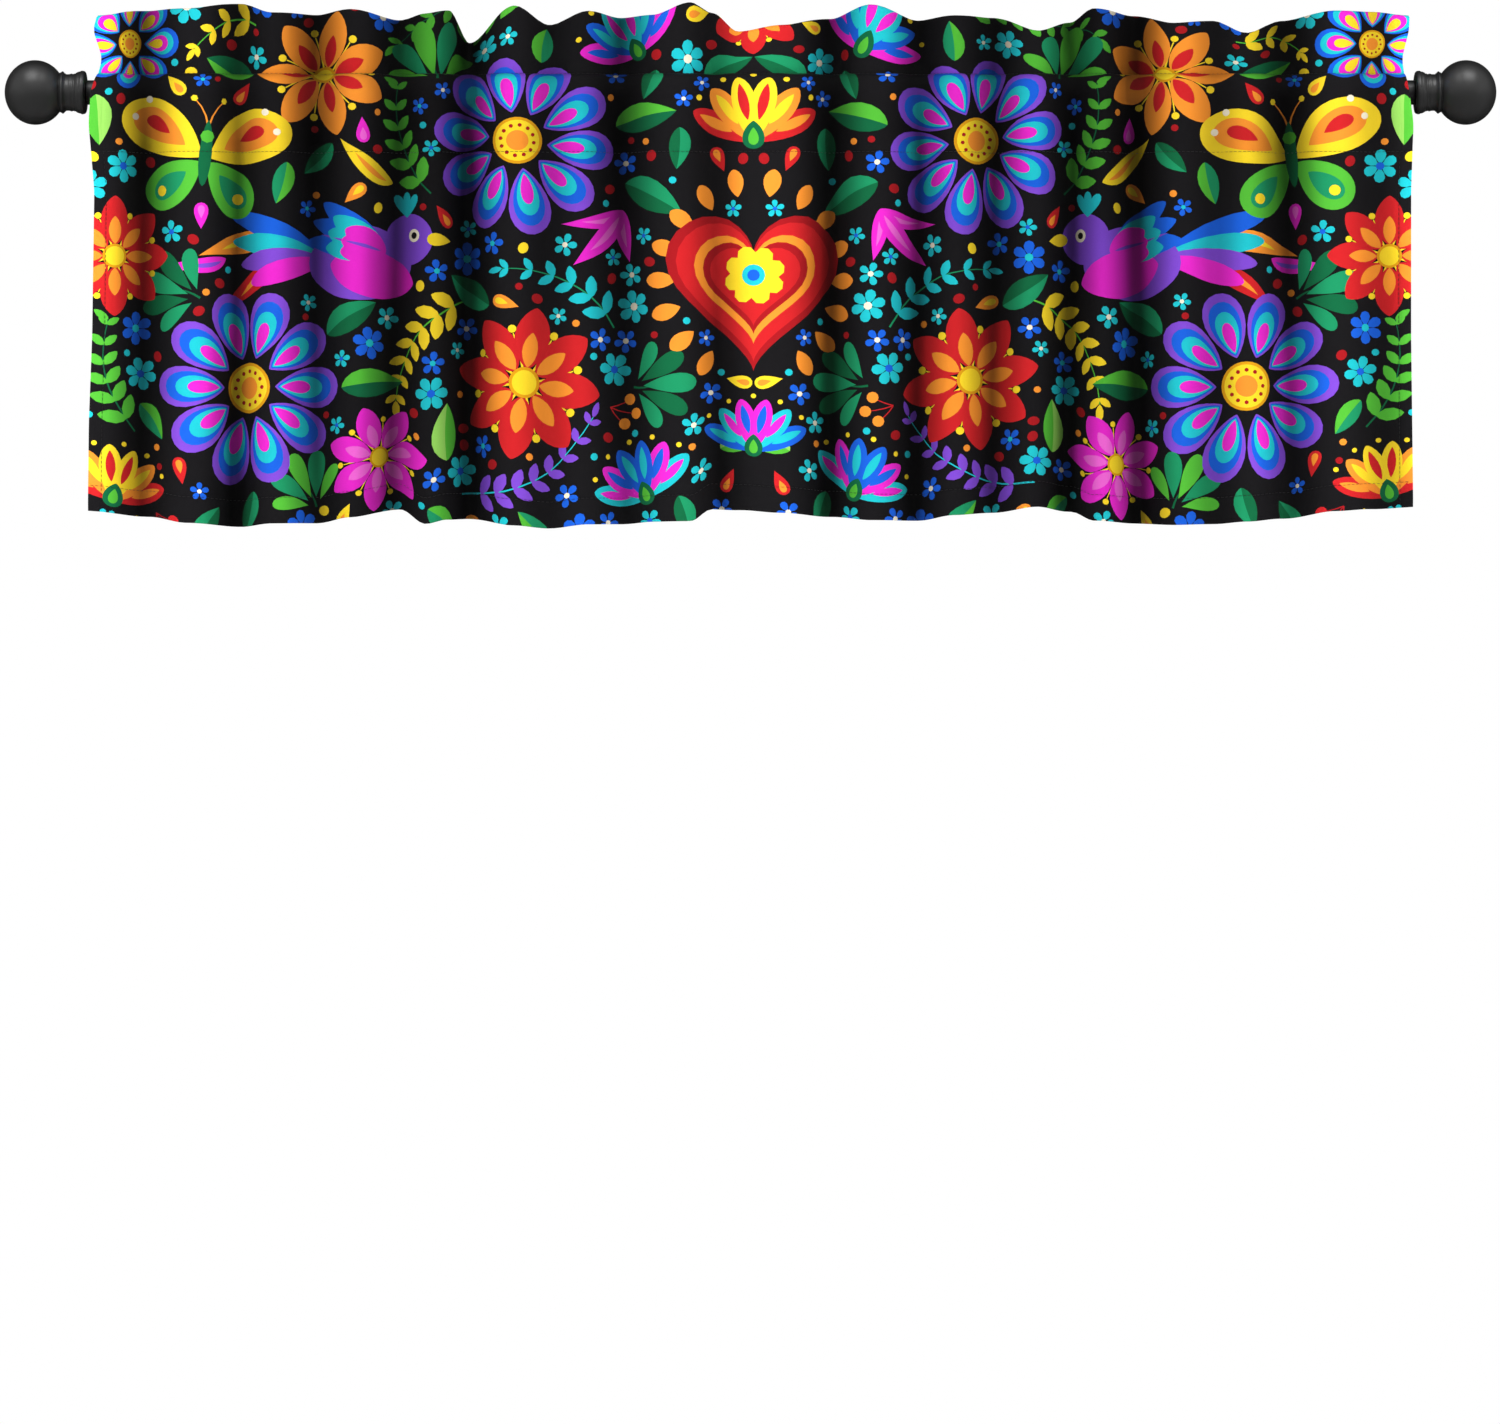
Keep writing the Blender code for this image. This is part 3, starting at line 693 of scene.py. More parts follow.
def clipped(outline):
    """The part of an outline that lies on the flat cloth."""
    for axis, sign, limit in ((0, 1.0, HALF_FLAT), (0, -1.0, HALF_FLAT), (1, 1.0, V_END), (1, -1.0, 0.0)):
        if len(outline) < 3:
            break
        over = sign * outline[:, axis] - limit
        kept = []
        for here, there, a, b in zip(outline, np.roll(outline, -1, 0), over, np.roll(over, -1)):
            if a <= 0.0:
                kept.append(here)
            if (a < 0.0 < b) or (b < 0.0 < a):
                kept.append(here + (there - here) * a / (a - b))
        outline = np.array(kept).reshape(-1, 2)
    return outline


def print_shapes():
    """The printed shapes on the flat cloth, counter-clockwise, as (ink, outline) in drawing order."""
    ground = Ground()
    right, centred = right_half(), middle()
    for _, outline in [shape for group in right + centred for shape in group]:
        ground.take(outline)
    right += fillers(ground, random.Random(FILLER_SEED))
    shapes = [shape for group in right for shape in group]
    shapes += [(ink, outline * (-1.0, 1.0)) for ink, outline in shapes]
    shapes += [shape for group in centred for shape in group]
    made = []
    for ink, outline in shapes:
        outline = clipped(outline * (PRINT_STRETCH, 1.0))
        if len(outline) >= 3:
            made.append((ink, outline if area_of(outline) > 0.0 else outline[::-1]))
    return made


# ---------------------------------------------------------------- the sheet of cloth
# The cloth is cut into triangles with v drawn together, so that they are long up the folds.
CUT_SQUASH = 0.5
# The cut is worked out in millimetres, where points closer than this become one.
MILLIMETRES = 1000.0
CUT_MERGE = 0.005
LEAST_TRIANGLE = 1e-12
WIDE_STEP = 0.018
EDGE_POINTS, SIDE_POINTS = 260, 90
FACE_BEND, UNDER_BEND = math.radians(16.0), math.radians(30.0)
# An edge that would lie further than this off the hung cloth gets more points.
MOST_SAG = 0.0004
CUTS = 6
# Printed shapes of a smaller area aren't cut out on the wrong side, where the print hardly shows.
LEAST_SHOWING_THROUGH = 0.00008
# Painted shade: the face's colour is darkened in each fold, more in a deeper one.
# The photographed folds are darker than their depth alone makes them in soft light, most of all
# at the pocket and header, so each has a value for the hem and one for the top.
SHADE_WIDTH = (1.1, 1.25)
SHADE_PER_METRE = (66.0, 84.0)
# How far the cloth's edge is rounded out, as a share of its thickness.
EDGE_BULGE = 0.4
# Where the face and the wrong side lie on the map that an export draws the finish on: the face
# takes most of it. The rounded edge is pushed outwards from both.
FACE_BAND, WRONG_SIDE_BAND = (0.005, 0.63), (0.645, 0.995)
EDGE_PUSH = 0.003


def grid_columns(bend_step, samples=8001, share=0.3):
    """Places across the flat cloth, closer together where the folds bend more."""
    u = np.linspace(-HALF_FLAT, HALF_FLAT, samples)
    along, back, _ = drop_place(np.interp(u, SPREAD_U, SPREAD_X), np.full_like(u, share))
    heading = np.arctan2(np.gradient(back), np.gradient(along))
    effort = np.cumsum(np.abs(np.gradient(heading)) / bend_step + (u[1] - u[0]) / WIDE_STEP)
    columns = np.interp(np.linspace(effort[0], effort[-1], round(effort[-1])), effort, u)
    inner = HALF_FLAT - SIDE_HEM - HEM_STEP
    columns = [u for u in columns if abs(u) < inner - 0.002]
    return [-inner - HEM_STEP, -inner] + columns + [inner, inner + HEM_STEP]


def grid_rows():
    """Levels on the flat cloth, closer together where it goes round the rod and over the header."""
    under_rod = V_SEAM + 0.35 * POCKET_LENGTH
    stretches = (
        (BOTTOM_HEM + HEM_STEP, V_SEAM, 0.027),
        (V_SEAM, under_rod, 0.009),
        (under_rod, V_STITCH, 0.005),
        (V_STITCH, V_EDGE, 0.012),
        (V_EDGE, V_TURNED, 0.0018),
        (V_TURNED, V_BACK_STITCH, 0.013),
        (V_BACK_STITCH, V_END - POCKET_TURN - HEM_STEP, 0.0065),
        (V_END - POCKET_TURN - HEM_STEP, V_END - POCKET_TURN, HEM_STEP),
    )
    rows = [BOTTOM_HEM / 2.0, BOTTOM_HEM]
    for low, high, step in stretches:
        rows += list(np.linspace(low, high, max(round((high - low) / step), 1), endpoint=False))
    return rows + [V_END - POCKET_TURN]


def crease_rows():
    """Levels on the flat cloth that triangles don't cross: its hems, its seams and the header's edge."""
    hems = [BOTTOM_HEM, BOTTOM_HEM + HEM_STEP, V_END - POCKET_TURN - HEM_STEP, V_END - POCKET_TURN]
    return hems + [V_SEAM, V_STITCH, V_BACK_STITCH] + list(np.linspace(V_EDGE, V_TURNED, 5))


def plain_edge():
    """Points round the flat cloth's edge, counter-clockwise from its lower left corner."""
    across_edge = np.linspace(-HALF_FLAT, HALF_FLAT, EDGE_POINTS)
    up_edge = np.linspace(0.0, V_END, SIDE_POINTS)
    edge = [(u, 0.0) for u in across_edge[:-1]] + [(HALF_FLAT, v) for v in up_edge[:-1]]
    edge += [(u, V_END) for u in across_edge[:0:-1]] + [(-HALF_FLAT, v) for v in up_edge[:0:-1]]
    return np.array(edge)


def round_the_edge(places, close=1e-7):
    """Which of these points lie on the flat cloth's edge, in order from its lower left corner."""
    u, v = places.T
    along = np.full(len(places), -1.0)
    along = np.where(u < close - HALF_FLAT, 2.0 * FLAT_WIDTH + 2.0 * V_END - v, along)
    along = np.where(v > V_END - close, FLAT_WIDTH + V_END + HALF_FLAT - u, along)
    along = np.where(u > HALF_FLAT - close, FLAT_WIDTH + v, along)
    along = np.where(v < close, u + HALF_FLAT, along)
    on_edge = np.flatnonzero(along >= 0.0)
    return on_edge[np.argsort(along[on_edge])]


def cut_cloth(shapes, edge, bend_step, extra):
    """The flat cloth in triangles that follow the printed outlines, and each triangle's ink."""
    columns = grid_columns(bend_step)
    lines = [[(u, 0.0), (u, V_END)] for u in (columns[0], columns[1], columns[-2], columns[-1])]
    lines += [[(-HALF_FLAT, v), (HALF_FLAT, v)] for v in crease_rows()]
    grid = [(u, v) for u in columns for v in grid_rows()] + extra
    points = [grid, edge] + lines + [outline for _, outline in shapes]
    starts = np.cumsum([0] + [len(part) for part in points]).tolist()
    edges = [(starts[1] + i, starts[1] + (i + 1) % len(edge)) for i in range(len(edge))]
    edges += [(start, start + 1) for start in starts[2:2 + len(lines)]]
    starts = starts[2 + len(lines):]
    faces = [list(range(start, stop)) for start, stop in zip(starts, starts[1:])]
    flat = np.concatenate(points) * MILLIMETRES * (1.0, CUT_SQUASH)
    places, _, triangles, _, _, sources = delaunay_2d_cdt(flat.tolist(), edges, faces, 0, CUT_MERGE)
    places = np.array([tuple(place) for place in places]) / MILLIMETRES / (1.0, CUT_SQUASH)
    places = np.clip(places, (-HALF_FLAT, 0.0), (HALF_FLAT, V_END))
    triangles = np.array(triangles)
    palette = np.array([linear(ink) for ink, _ in shapes] + [linear("black")])
    inks = palette[[max(source, default=-1) for source in sources]]
    a, b, c = (places[triangles[:, corner]] for corner in range(3))
    area = (b - a)[:, 0] * (c - a)[:, 1] - (b - a)[:, 1] * (c - a)[:, 0]
    kept = area > LEAST_TRIANGLE
    used, corners = np.unique(triangles[kept], return_inverse=True)
    return places[used], corners.reshape(-1, 3), inks[kept]


def more_points(places, triangles):
    """Points to add on the edges between triangles that lie off the hung cloth."""
    sides = np.concatenate([triangles[:, [0, 1]], triangles[:, [1, 2]], triangles[:, [2, 0]]])
    ends, uses = np.unique(np.sort(sides, axis=1), axis=0, return_counts=True)
    start, stop = places[ends[uses == 2]].transpose(1, 0, 2)
    first, last = hang(*start.T), hang(*stop.T)
    sag = [
        np.linalg.norm(between(first, last, share) - hang(*between(start, stop, share).T), axis=1)
        for share in (0.25, 0.5, 0.75)
    ]
    parts = np.ceil(np.sqrt(np.max(sag, axis=0) / MOST_SAG))
    points = []
    for count in range(2, int(parts.max()) + 1):
        long = parts == count
        for part in range(1, count):
            points += between(start[long], stop[long], part / count).tolist()
    return points


def cut_to_curve(shapes, edge, bend_step):
    """The flat cloth cut again with more points until its triangles lie close to the hung cloth."""
    extra = []
    for _ in range(CUTS):
        places, triangles, inks = cut_cloth(shapes, edge, bend_step, extra)
        more = more_points(places, triangles)
        if not more:
            break
        extra += more
    return places, triangles, inks


def showing_through(shapes):
    """The shapes large enough to show through to the wrong side of the drop, with fewer points."""
    return [
        (ink, outline[::2] if len(outline) > 12 else outline)
        for ink, outline in shapes
        if area_of(outline) > LEAST_SHOWING_THROUGH and outline[:, 1].min() < V_SEAM
    ]


def thickness_at(places):
    """The sheet's thickness, and more where a hem is folded under."""
    u, v = places.T
    from_side = HALF_FLAT - np.abs(u)
    hem = np.minimum(np.minimum(from_side - SIDE_HEM, v - BOTTOM_HEM), V_END - POCKET_TURN - v)
    return SHEET + FOLDED_HEM * (1.0 - ease(hem / HEM_STEP))


def shade_in_folds(places):
    """Painted shade for the face's colour in its folds: 1 on the crests, less in a deeper fold, and 1 at
    the back.
    """
    u, v = places.T
    x = np.interp(u, SPREAD_U, SPREAD_X)
    up = np.clip(v / V_SEAM, 0.0, 1.0)
    deep = fold_depth(x, 1.0 - up, between(*SHADE_WIDTH, up))
    in_front = 1.0 - ease((v - V_EDGE) / (V_TURNED - V_EDGE))
    return np.exp(-between(*SHADE_PER_METRE, up) * deep * in_front)


def linear(ink):
    """An ink's colour as linear light."""
    value = np.array(INKS[ink]) / 255.0
    return np.where(value <= 0.04045, value / 12.92, ((value + 0.055) / 1.055) ** 2.4)


def flat_map(places, band, push=0.0):
    """Map coordinates of flat points in a band, with the cloth's edge pushed outwards."""
    low, high = band
    share = places / (FLAT_WIDTH, V_END) + (0.5, 0.0)
    outwards = np.round(share * 2.0 - 1.0, 5)
    outwards = np.where(np.abs(outwards) == 1.0, outwards, 0.0)
    return share * (0.99, high - low) + (0.005, low) + push * outwards


def linked(name, data):
    """A new object in the scene."""
    made = bpy.data.objects.new(name, data)
    bpy.context.scene.collection.objects.link(made)
    return made


def fill(layer, field, values):
    layer.data.foreach_set(field, np.asarray(values, np.float32).ravel())


def make_cloth(face, wrong_side):
    """The printed sheet: its face, its wrong side, and a rounded edge that joins them."""
    shapes = print_shapes()
    places, triangles, inks = cut_to_curve(shapes, plain_edge(), FACE_BEND)
    edge = round_the_edge(places)
    rim = places[edge]
    under, under_triangles, under_inks = cut_to_curve(showing_through(shapes), rim, UNDER_BEND)
    points, normals = hang_with_normals(*places.T)
    under_points, under_normals = hang_with_normals(*under.T)
    under_points = under_points - under_normals * thickness_at(under)[:, None]

    # The edge's outermost points, half way through the cloth.
    thick = thickness_at(rim)[:, None]
    tangent = np.roll(points[edge], -1, axis=0) - np.roll(points[edge], 1, axis=0)
    outward = unit(np.cross(tangent, normals[edge]))
    outermost = points[edge] - normals[edge] * thick / 2.0 + outward * thick * EDGE_BULGE

    first_under = len(points)
    first_rim = first_under + len(under)
    ring = np.stack([edge, first_under + round_the_edge(under), first_rim + np.arange(len(edge))])
    (a, under_a, rim_a), (b, under_b, rim_b) = ring, np.roll(ring, -1, axis=1)
    parts = [
        triangles,
        np.concatenate([np.stack([b, a, rim_a], 1), np.stack([b, rim_a, rim_b], 1)]),
        under_triangles[:, ::-1] + first_under,
        np.concatenate([np.stack([under_a, under_b, rim_b], 1), np.stack([under_a, rim_b, rim_a], 1)]),
    ]
    faces = np.concatenate(parts)
    front = len(parts[0]) + len(parts[1])
    sides = {
        (one, other): ink
        for triangle, ink in zip(triangles.tolist(), inks)
        for one, other in zip(triangle, triangle[1:] + triangle[:1])
    }
    rim_inks = np.array([sides[pair] for pair in zip(a.tolist(), b.tolist())] * 2)
    colours = np.concatenate([inks, rim_inks, under_inks, rim_inks])
    folded_under = thickness_at(under[under_triangles].mean(axis=1)) > SHEET
    slots = np.zeros(len(faces), np.int32)
    slots[front:front + len(under_triangles)] = np.where(folded_under, 0, 1)

    mesh = bpy.data.meshes.new("valance_sheet")
    mesh.from_pydata(np.concatenate([points, under_points, outermost]).tolist(), [], faces.tolist())
    mesh.materials.append(face)
    mesh.materials.append(wrong_side)
    mesh.polygons.foreach_set("material_index", slots)
    flat = np.concatenate([places, under, rim])
    fill(mesh.uv_layers.new(name="flat cloth"), "uv", flat[faces])
    upper, lower = (
        np.concatenate([flat_map(places, band), flat_map(under, band), flat_map(rim, band, EDGE_PUSH)])
        for band in (FACE_BAND, WRONG_SIDE_BAND)
    )
    drawn = np.concatenate([upper[faces[:front]], lower[faces[front:]]])
    fill(mesh.uv_layers.new(name="OFBake"), "uv", drawn)
    rgba = np.column_stack([np.repeat(colours, 3, axis=0), np.ones(len(faces) * 3)])
    fill(mesh.color_attributes.new("print", "FLOAT_COLOR", "CORNER"), "color", rgba)
    # Painted shade in the folds, on the face's points, for its finish to darken the colour by.
    shades = np.concatenate([shade_in_folds(places), np.ones(len(under)), shade_in_folds(rim)])
    fill(mesh.attributes.new("painted_fold_shade", "FLOAT", "POINT"), "value", shades)
    mesh.polygons.foreach_set("use_smooth", np.ones(len(faces), bool))
    mesh.normals_split_custom_set_from_vertices(np.concatenate([normals, -under_normals, outward]).tolist())
    mesh.update()
    return linked("valance_sheet", mesh)


# ---------------------------------------------------------------- stitches
THREAD_RADIUS = 0.00020
STITCH_INSET = 0.0025
STITCH_PITCH, STITCH_LENGTH = 0.0042, 0.0032
STITCH_SIDES = 5
# Each ring's place along the stitch, size, and lift off the cloth.
STITCH_RINGS = ((-0.5, 0.35, -0.4), (-0.25, 1.0, 0.6), (0.25, 1.0, 0.6), (0.5, 0.35, -0.4))


def seam_lines():
    """Each row of stitches: its flat points' u and v, the direction it runs in, and its faces."""
    inset = STITCH_INSET
    across_cloth = np.arange(-HALF_FLAT + inset, HALF_FLAT - inset, STITCH_PITCH)
    lines = [(across_cloth, BOTTOM_HEM - inset, (1.0, 0.0), (1, -1))]
    lines += [(across_cloth, v, (1.0, 0.0), (1,)) for v in (V_SEAM, V_STITCH, V_BACK_STITCH, V_END - inset)]
    up_cloth = np.arange(inset, V_SEAM, STITCH_PITCH)
    side = HALF_FLAT - SIDE_HEM + inset
    return lines + [(u, up_cloth, (0.0, 1.0), (1, -1)) for u in (-side, side)]


def stitch_faces():
    """One stitch's faces: the sides between its rings, and its two ends."""
    faces = []
    for first in range(0, (len(STITCH_RINGS) - 1) * STITCH_SIDES, STITCH_SIDES):
        for corner in range(STITCH_SIDES):
            a, b = first + corner, first + (corner + 1) % STITCH_SIDES
            faces.append((a, b, b + STITCH_SIDES, a + STITCH_SIDES))
    ring = tuple(range(STITCH_SIDES))
    last = (len(STITCH_RINGS) - 1) * STITCH_SIDES
    return faces + [ring[::-1], tuple(last + corner for corner in ring)]


def make_stitches(finish):
    """The rows of lockstitch at the hems, the pocket's seams and the header."""
    stacks = []
    for u, v, way, sides in seam_lines():
        u, v = (part.astype(float) for part in np.broadcast_arrays(u, v))
        centre, normal = hang_with_normals(u, v)
        step_u, step_v = way[0] * STITCH_LENGTH / 2.0, way[1] * STITCH_LENGTH / 2.0
        ahead = unit(hang(u + step_u, v + step_v) - hang(u - step_u, v - step_v))
        aside = np.cross(normal, ahead)
        thick = thickness_at(np.column_stack([u, v]))[:, None]
        for side in sides:
            surface = centre if side > 0 else centre - normal * thick
            rings = []
            for along, size, lift in STITCH_RINGS:
                on_ring = surface + ahead * along * STITCH_LENGTH + side * normal * THREAD_RADIUS * lift
                for angle in np.arange(STITCH_SIDES) * 2.0 * math.pi / STITCH_SIDES:
                    spoke = aside * math.cos(angle) + normal * math.sin(angle)
                    rings.append(on_ring + spoke * THREAD_RADIUS * size)
            stacks.append(np.stack(rings, axis=1))
    stitches = np.concatenate(stacks)
    one_stitch, each = stitch_faces(), stitches.shape[1]
    faces = [
        tuple(stitch * each + corner for corner in face)
        for stitch in range(len(stitches))
        for face in one_stitch
    ]
    mesh = bpy.data.meshes.new("seam_thread")
    mesh.from_pydata(stitches.reshape(-1, 3).tolist(), [], faces)
    mesh.materials.append(finish)
    mesh.shade_smooth()
    return linked("seam_thread", mesh)


# ---------------------------------------------------------------- the rod and its finials
ROD_RADIUS = 0.011
ROD_HALF_LENGTH = 0.5975
ROD_RIM = 0.0008
ROD_SIDES, FINIAL_SIDES = 64, 96
SHARP_ANGLE = math.radians(50.0)
JOIN_GAP = 0.0003
# The ball is a little shorter along the rod than it is high.
BALL_RADIUS, BALL_HALF_LENGTH = 0.0290, 0.0274
BALL_STEPS = 40

# The finial's collar from its foot at the rod's end to the ball, as distance and radius.
COLLAR = (
    (0.0000, 0.0000), (0.0000, 0.0120), (0.0000, 0.0170), (0.0003, 0.0181), (0.0011, 0.0190),
    (0.0022, 0.0194), (0.0036, 0.0196), (0.0046, 0.0194), (0.0050, 0.0190), (0.0054, 0.0188),
    (0.0062, 0.0188), (0.0074, 0.0184), (0.0084, 0.0179), (0.0089, 0.0176), (0.0093, 0.0171),
    (0.0098, 0.0169), (0.0103, 0.0171), (0.0107, 0.0168), (0.0114, 0.0165), (0.0122, 0.0167),
    (0.0131, 0.0170), (0.0140, 0.0168), (0.0148, 0.0165), (0.0162, 0.0164), (0.0176, 0.0164),
    (0.0184, 0.0166), (0.0188, 0.0172), (0.0193, 0.0174), (0.0197, 0.0178), (0.0202, 0.0185),
    (0.0209, 0.0190), (0.0216, 0.0189), (0.0222, 0.0184), (0.0228, 0.0180), (0.0236, 0.0177),
    (0.0240, 0.0174),
)


def turned_piece(name, profile, finish, sides):
    """A piece turned about the rod's axis from (place along X, radius) points, on the axis at both ends."""
    turn = np.arange(sides) * 2.0 * math.pi / sides
    rings = [
        np.column_stack([np.full(sides, along), -radius * np.sin(turn), radius * np.cos(turn)])
        for along, radius in profile[1:-1]
    ]
    ends = [(profile[0][0], 0.0, 0.0), (profile[-1][0], 0.0, 0.0)]
    first, last = len(rings) * sides, len(rings) * sides + 1
    faces = []
    for here in range(sides):
        there = (here + 1) % sides
        faces.append((first, there, here))
        for ring in range(0, first - sides, sides):
            faces.append((ring + here, ring + there, ring + sides + there, ring + sides + here))
        faces.append((last, first - sides + here, first - sides + there))
    mesh = bpy.data.meshes.new(name)
    mesh.from_pydata(np.concatenate(rings + [ends]).tolist(), [], faces)
    mesh.materials.append(finish)
    mesh.shade_smooth()
    mesh.set_sharp_from_angle(angle=SHARP_ANGLE)
    return linked(name, mesh)


def make_finial(name, side, finish):
    """A ball finial with its ringed collar. side is -1 at the left and +1 at the right."""
    neck, radius = COLLAR[-1]
    join = math.asin(radius / BALL_RADIUS)
    centre = neck + BALL_HALF_LENGTH * math.cos(join)
    profile = list(COLLAR)
    for step in range(1, BALL_STEPS + 1):
        angle = (math.pi - join) * (1.0 - step / BALL_STEPS)
        profile.append((centre + BALL_HALF_LENGTH * math.cos(angle), BALL_RADIUS * math.sin(angle)))
    foot = ROD_HALF_LENGTH + JOIN_GAP
    profile = [(side * (foot + along), radius) for along, radius in profile]
    return turned_piece(name, profile[::side], finish, FINIAL_SIDES)


def make_rod(finish):
    """The rod's tube, with its rims rounded over."""
    rounding = ((1.0, 0.0), (0.3, 0.3), (0.0, 1.0))
    half = [(ROD_HALF_LENGTH - ROD_RIM * back, ROD_RADIUS - ROD_RIM * down) for back, down in rounding]
    half.append((ROD_HALF_LENGTH, 0.0))
    other_half = [(-along, radius) for along, radius in half[::-1]]
    return turned_piece("rod_tube", other_half + half, finish, ROD_SIDES)


# ---------------------------------------------------------------- finishes
def linear_grey(value):
    """A grey's sRGB value from 0 to 255 as linear light, with full alpha."""
    light = ((value / 255.0 + 0.055) / 1.055) ** 2.4
    return (light, light, light, 1.0)


def add_node(tree, kind, inputs=(), **settings):
    """A shader node with its settings, each input a value or the socket that feeds it."""
    made = tree.nodes.new("ShaderNode" + kind)
    for name, value in settings.items():
        setattr(made, name, value)
    for name, value in dict(inputs).items():
        if isinstance(value, bpy.types.NodeSocket):
            tree.links.new(value, made.inputs[name])
        else:
            made.inputs[name].default_value = value
    return made


def calculate(tree, operation, a, b=0.0):
    return add_node(tree, "Math", {0: a, 1: b}, operation=operation).outputs[0]


def noise(tree, place, scale, detail=2.0):
    return add_node(tree, "TexNoise", {"Vector": place, "Scale": scale, "Detail": detail}).outputs[0]


def scaled(tree, vector, factors):
    return add_node(tree, "VectorMath", {0: vector, 1: factors}, operation="MULTIPLY").outputs[0]


def mixed(tree, share, a, b):
    return add_node(tree, "Mix", {0: share, 2: a, 3: b}, data_type="FLOAT").outputs[0]


# The sockets of the groups below are numbers, apart from these.
SOCKET_KINDS = {"Colour": "NodeSocketColor", "Place": "NodeSocketVector"}


def start_group(name, **inputs):
    """A shader node group with these inputs, each with its first value or None, and their sockets."""
    tree = bpy.data.node_groups.new(name, "ShaderNodeTree")
    for socket, value in inputs.items():
        kind = SOCKET_KINDS.get(socket, "NodeSocketFloat")
        made = tree.interface.new_socket(socket, in_out="INPUT", socket_type=kind)
        if value is not None:
            made.default_value = value
    return tree, tree.nodes.new("NodeGroupInput").outputs


def end_group(tree, **results):
    """The group once its results have their output sockets."""
    output = tree.nodes.new("NodeGroupOutput")
    for socket, value in results.items():
        kind = SOCKET_KINDS.get(socket, "NodeSocketFloat")
        tree.interface.new_socket(socket, in_out="OUTPUT", socket_type=kind)
        tree.links.new(value, output.inputs[socket])
    return tree


def woven_cloth_group():
    """Plain weave: a height for the bump, and a painted shade for the colour, a little lower between the
    threads.
    """
    tree, given = start_group("woven cloth", Place=None, Threads=2600.0, Slub=0.5)
    threads = add_node(tree, "VectorMath", {0: given["Place"], 3: given["Threads"]}, operation="SCALE")
    place = add_node(tree, "SeparateXYZ", {0: threads.outputs[0]}).outputs
    warp, weft = (
        calculate(tree, "SINE", calculate(tree, "MULTIPLY", place[axis], math.pi)) for axis in (0, 1)
    )
    crossing = calculate(tree, "MULTIPLY", warp, weft)
    along_warp = noise(tree, scaled(tree, given["Place"], (900.0, 60.0, 1.0)), 1.0, 1.0)
    along_weft = noise(tree, scaled(tree, given["Place"], (60.0, 900.0, 1.0)), 1.0, 1.0)
    both = calculate(tree, "ADD", along_warp, along_weft)
    uneven = calculate(tree, "MULTIPLY", calculate(tree, "SUBTRACT", both, 1.0), given["Slub"])
    height = calculate(tree, "ADD", calculate(tree, "MULTIPLY", crossing, 0.5), uneven)
    gap = calculate(tree, "SUBTRACT", 1.0, calculate(tree, "ABSOLUTE", crossing))
    shade = calculate(tree, "SUBTRACT", 1.04, calculate(tree, "MULTIPLY", gap, 0.07))
    return end_group(tree, Height=height, Shade=shade)


def seam_pucker_group():
    """A groove along the rows of stitches and puckers across them, as a height for the bump."""
    tree, given = start_group("seam puckers", Place=None)
    place = add_node(tree, "SeparateXYZ", {0: given["Place"]}).outputs
    rows = [(calculate(tree, "ABSOLUTE", place[0]), HALF_FLAT - SIDE_HEM + STITCH_INSET)]
    rows += [(place[1], level) for level in (BOTTOM_HEM - STITCH_INSET, V_SEAM, V_STITCH, V_BACK_STITCH)]
    away = None
    for where, level in rows:
        from_row = calculate(tree, "ABSOLUTE", calculate(tree, "SUBTRACT", where, level))
        away = calculate(tree, "MINIMUM", away, from_row) if away else from_row
    fades = []
    for reach in (0.008, 0.0011):
        share = calculate(tree, "DIVIDE", away, reach)
        falling = calculate(tree, "MULTIPLY", calculate(tree, "MULTIPLY", share, share), -1.0)
        fades.append(calculate(tree, "EXPONENT", falling))
    ripple = noise(tree, scaled(tree, given["Place"], (150.0, 32.0, 1.0)), 1.0, 1.0)
    pucker = calculate(tree, "MULTIPLY", calculate(tree, "SUBTRACT", ripple, 0.5), fades[0])
    groove = calculate(tree, "MULTIPLY", fades[1], 0.3)
    return end_group(tree, Height=calculate(tree, "SUBTRACT", pucker, groove))


def dyed_group():
    """Cloth colour that is a little uneven, as ink on thread is, times a painted shade."""
    tree, given = start_group("dyed", Colour=None, Place=None, Shade=1.0, Mottle=0.1)
    both = calculate(tree, "ADD", noise(tree, given["Place"], 700.0), noise(tree, given["Place"], 24.0))
    uneven = calculate(tree, "MULTIPLY", calculate(tree, "SUBTRACT", both, 1.0), given["Mottle"])
    # Painted shade: the colour is made darker by the Shade input as well as mottled.
    light = calculate(tree, "MULTIPLY", calculate(tree, "ADD", uneven, 1.0), given["Shade"])
    coloured = add_node(tree, "VectorMath", {0: given["Colour"], 3: light}, operation="SCALE")
    return end_group(tree, Colour=coloured.outputs[0])


def satin_paint_group():
    """Sprayed paint: a fine ripple for the bump, and a roughness that changes softly."""
    tree, given = start_group("satin paint", Place=None, Grain=900.0, Gloss=0.38)
    ripple = noise(tree, given["Place"], given["Grain"], 3.0)
    broad = calculate(tree, "SUBTRACT", noise(tree, given["Place"], 45.0), 0.5)
    roughness = calculate(tree, "ADD", given["Gloss"], calculate(tree, "MULTIPLY", broad, 0.16))
    return end_group(tree, Height=ripple, Roughness=roughness)


WOVEN = woven_cloth_group()
PUCKERS = seam_pucker_group()
DYED = dyed_group()
PAINTED = satin_paint_group()
THREADS_PER_METRE = 2600.0
# The share of the print that shows through to the wrong side.
SHOWING_THROUGH = 0.11


def use_group(tree, group, **inputs):
    return add_node(tree, "Group", inputs, node_tree=group).outputs


def new_material(name, **sockets):
    """A material, its node tree and its shader, with the shader's constant values set."""
    material = bpy.data.materials.new(name)
    material.use_nodes = True
    shader = material.node_tree.nodes["Principled BSDF"]
    for socket, value in sockets.items():
        shader.inputs[socket.replace("_", " ")].default_value = value
    return material, material.node_tree, shader


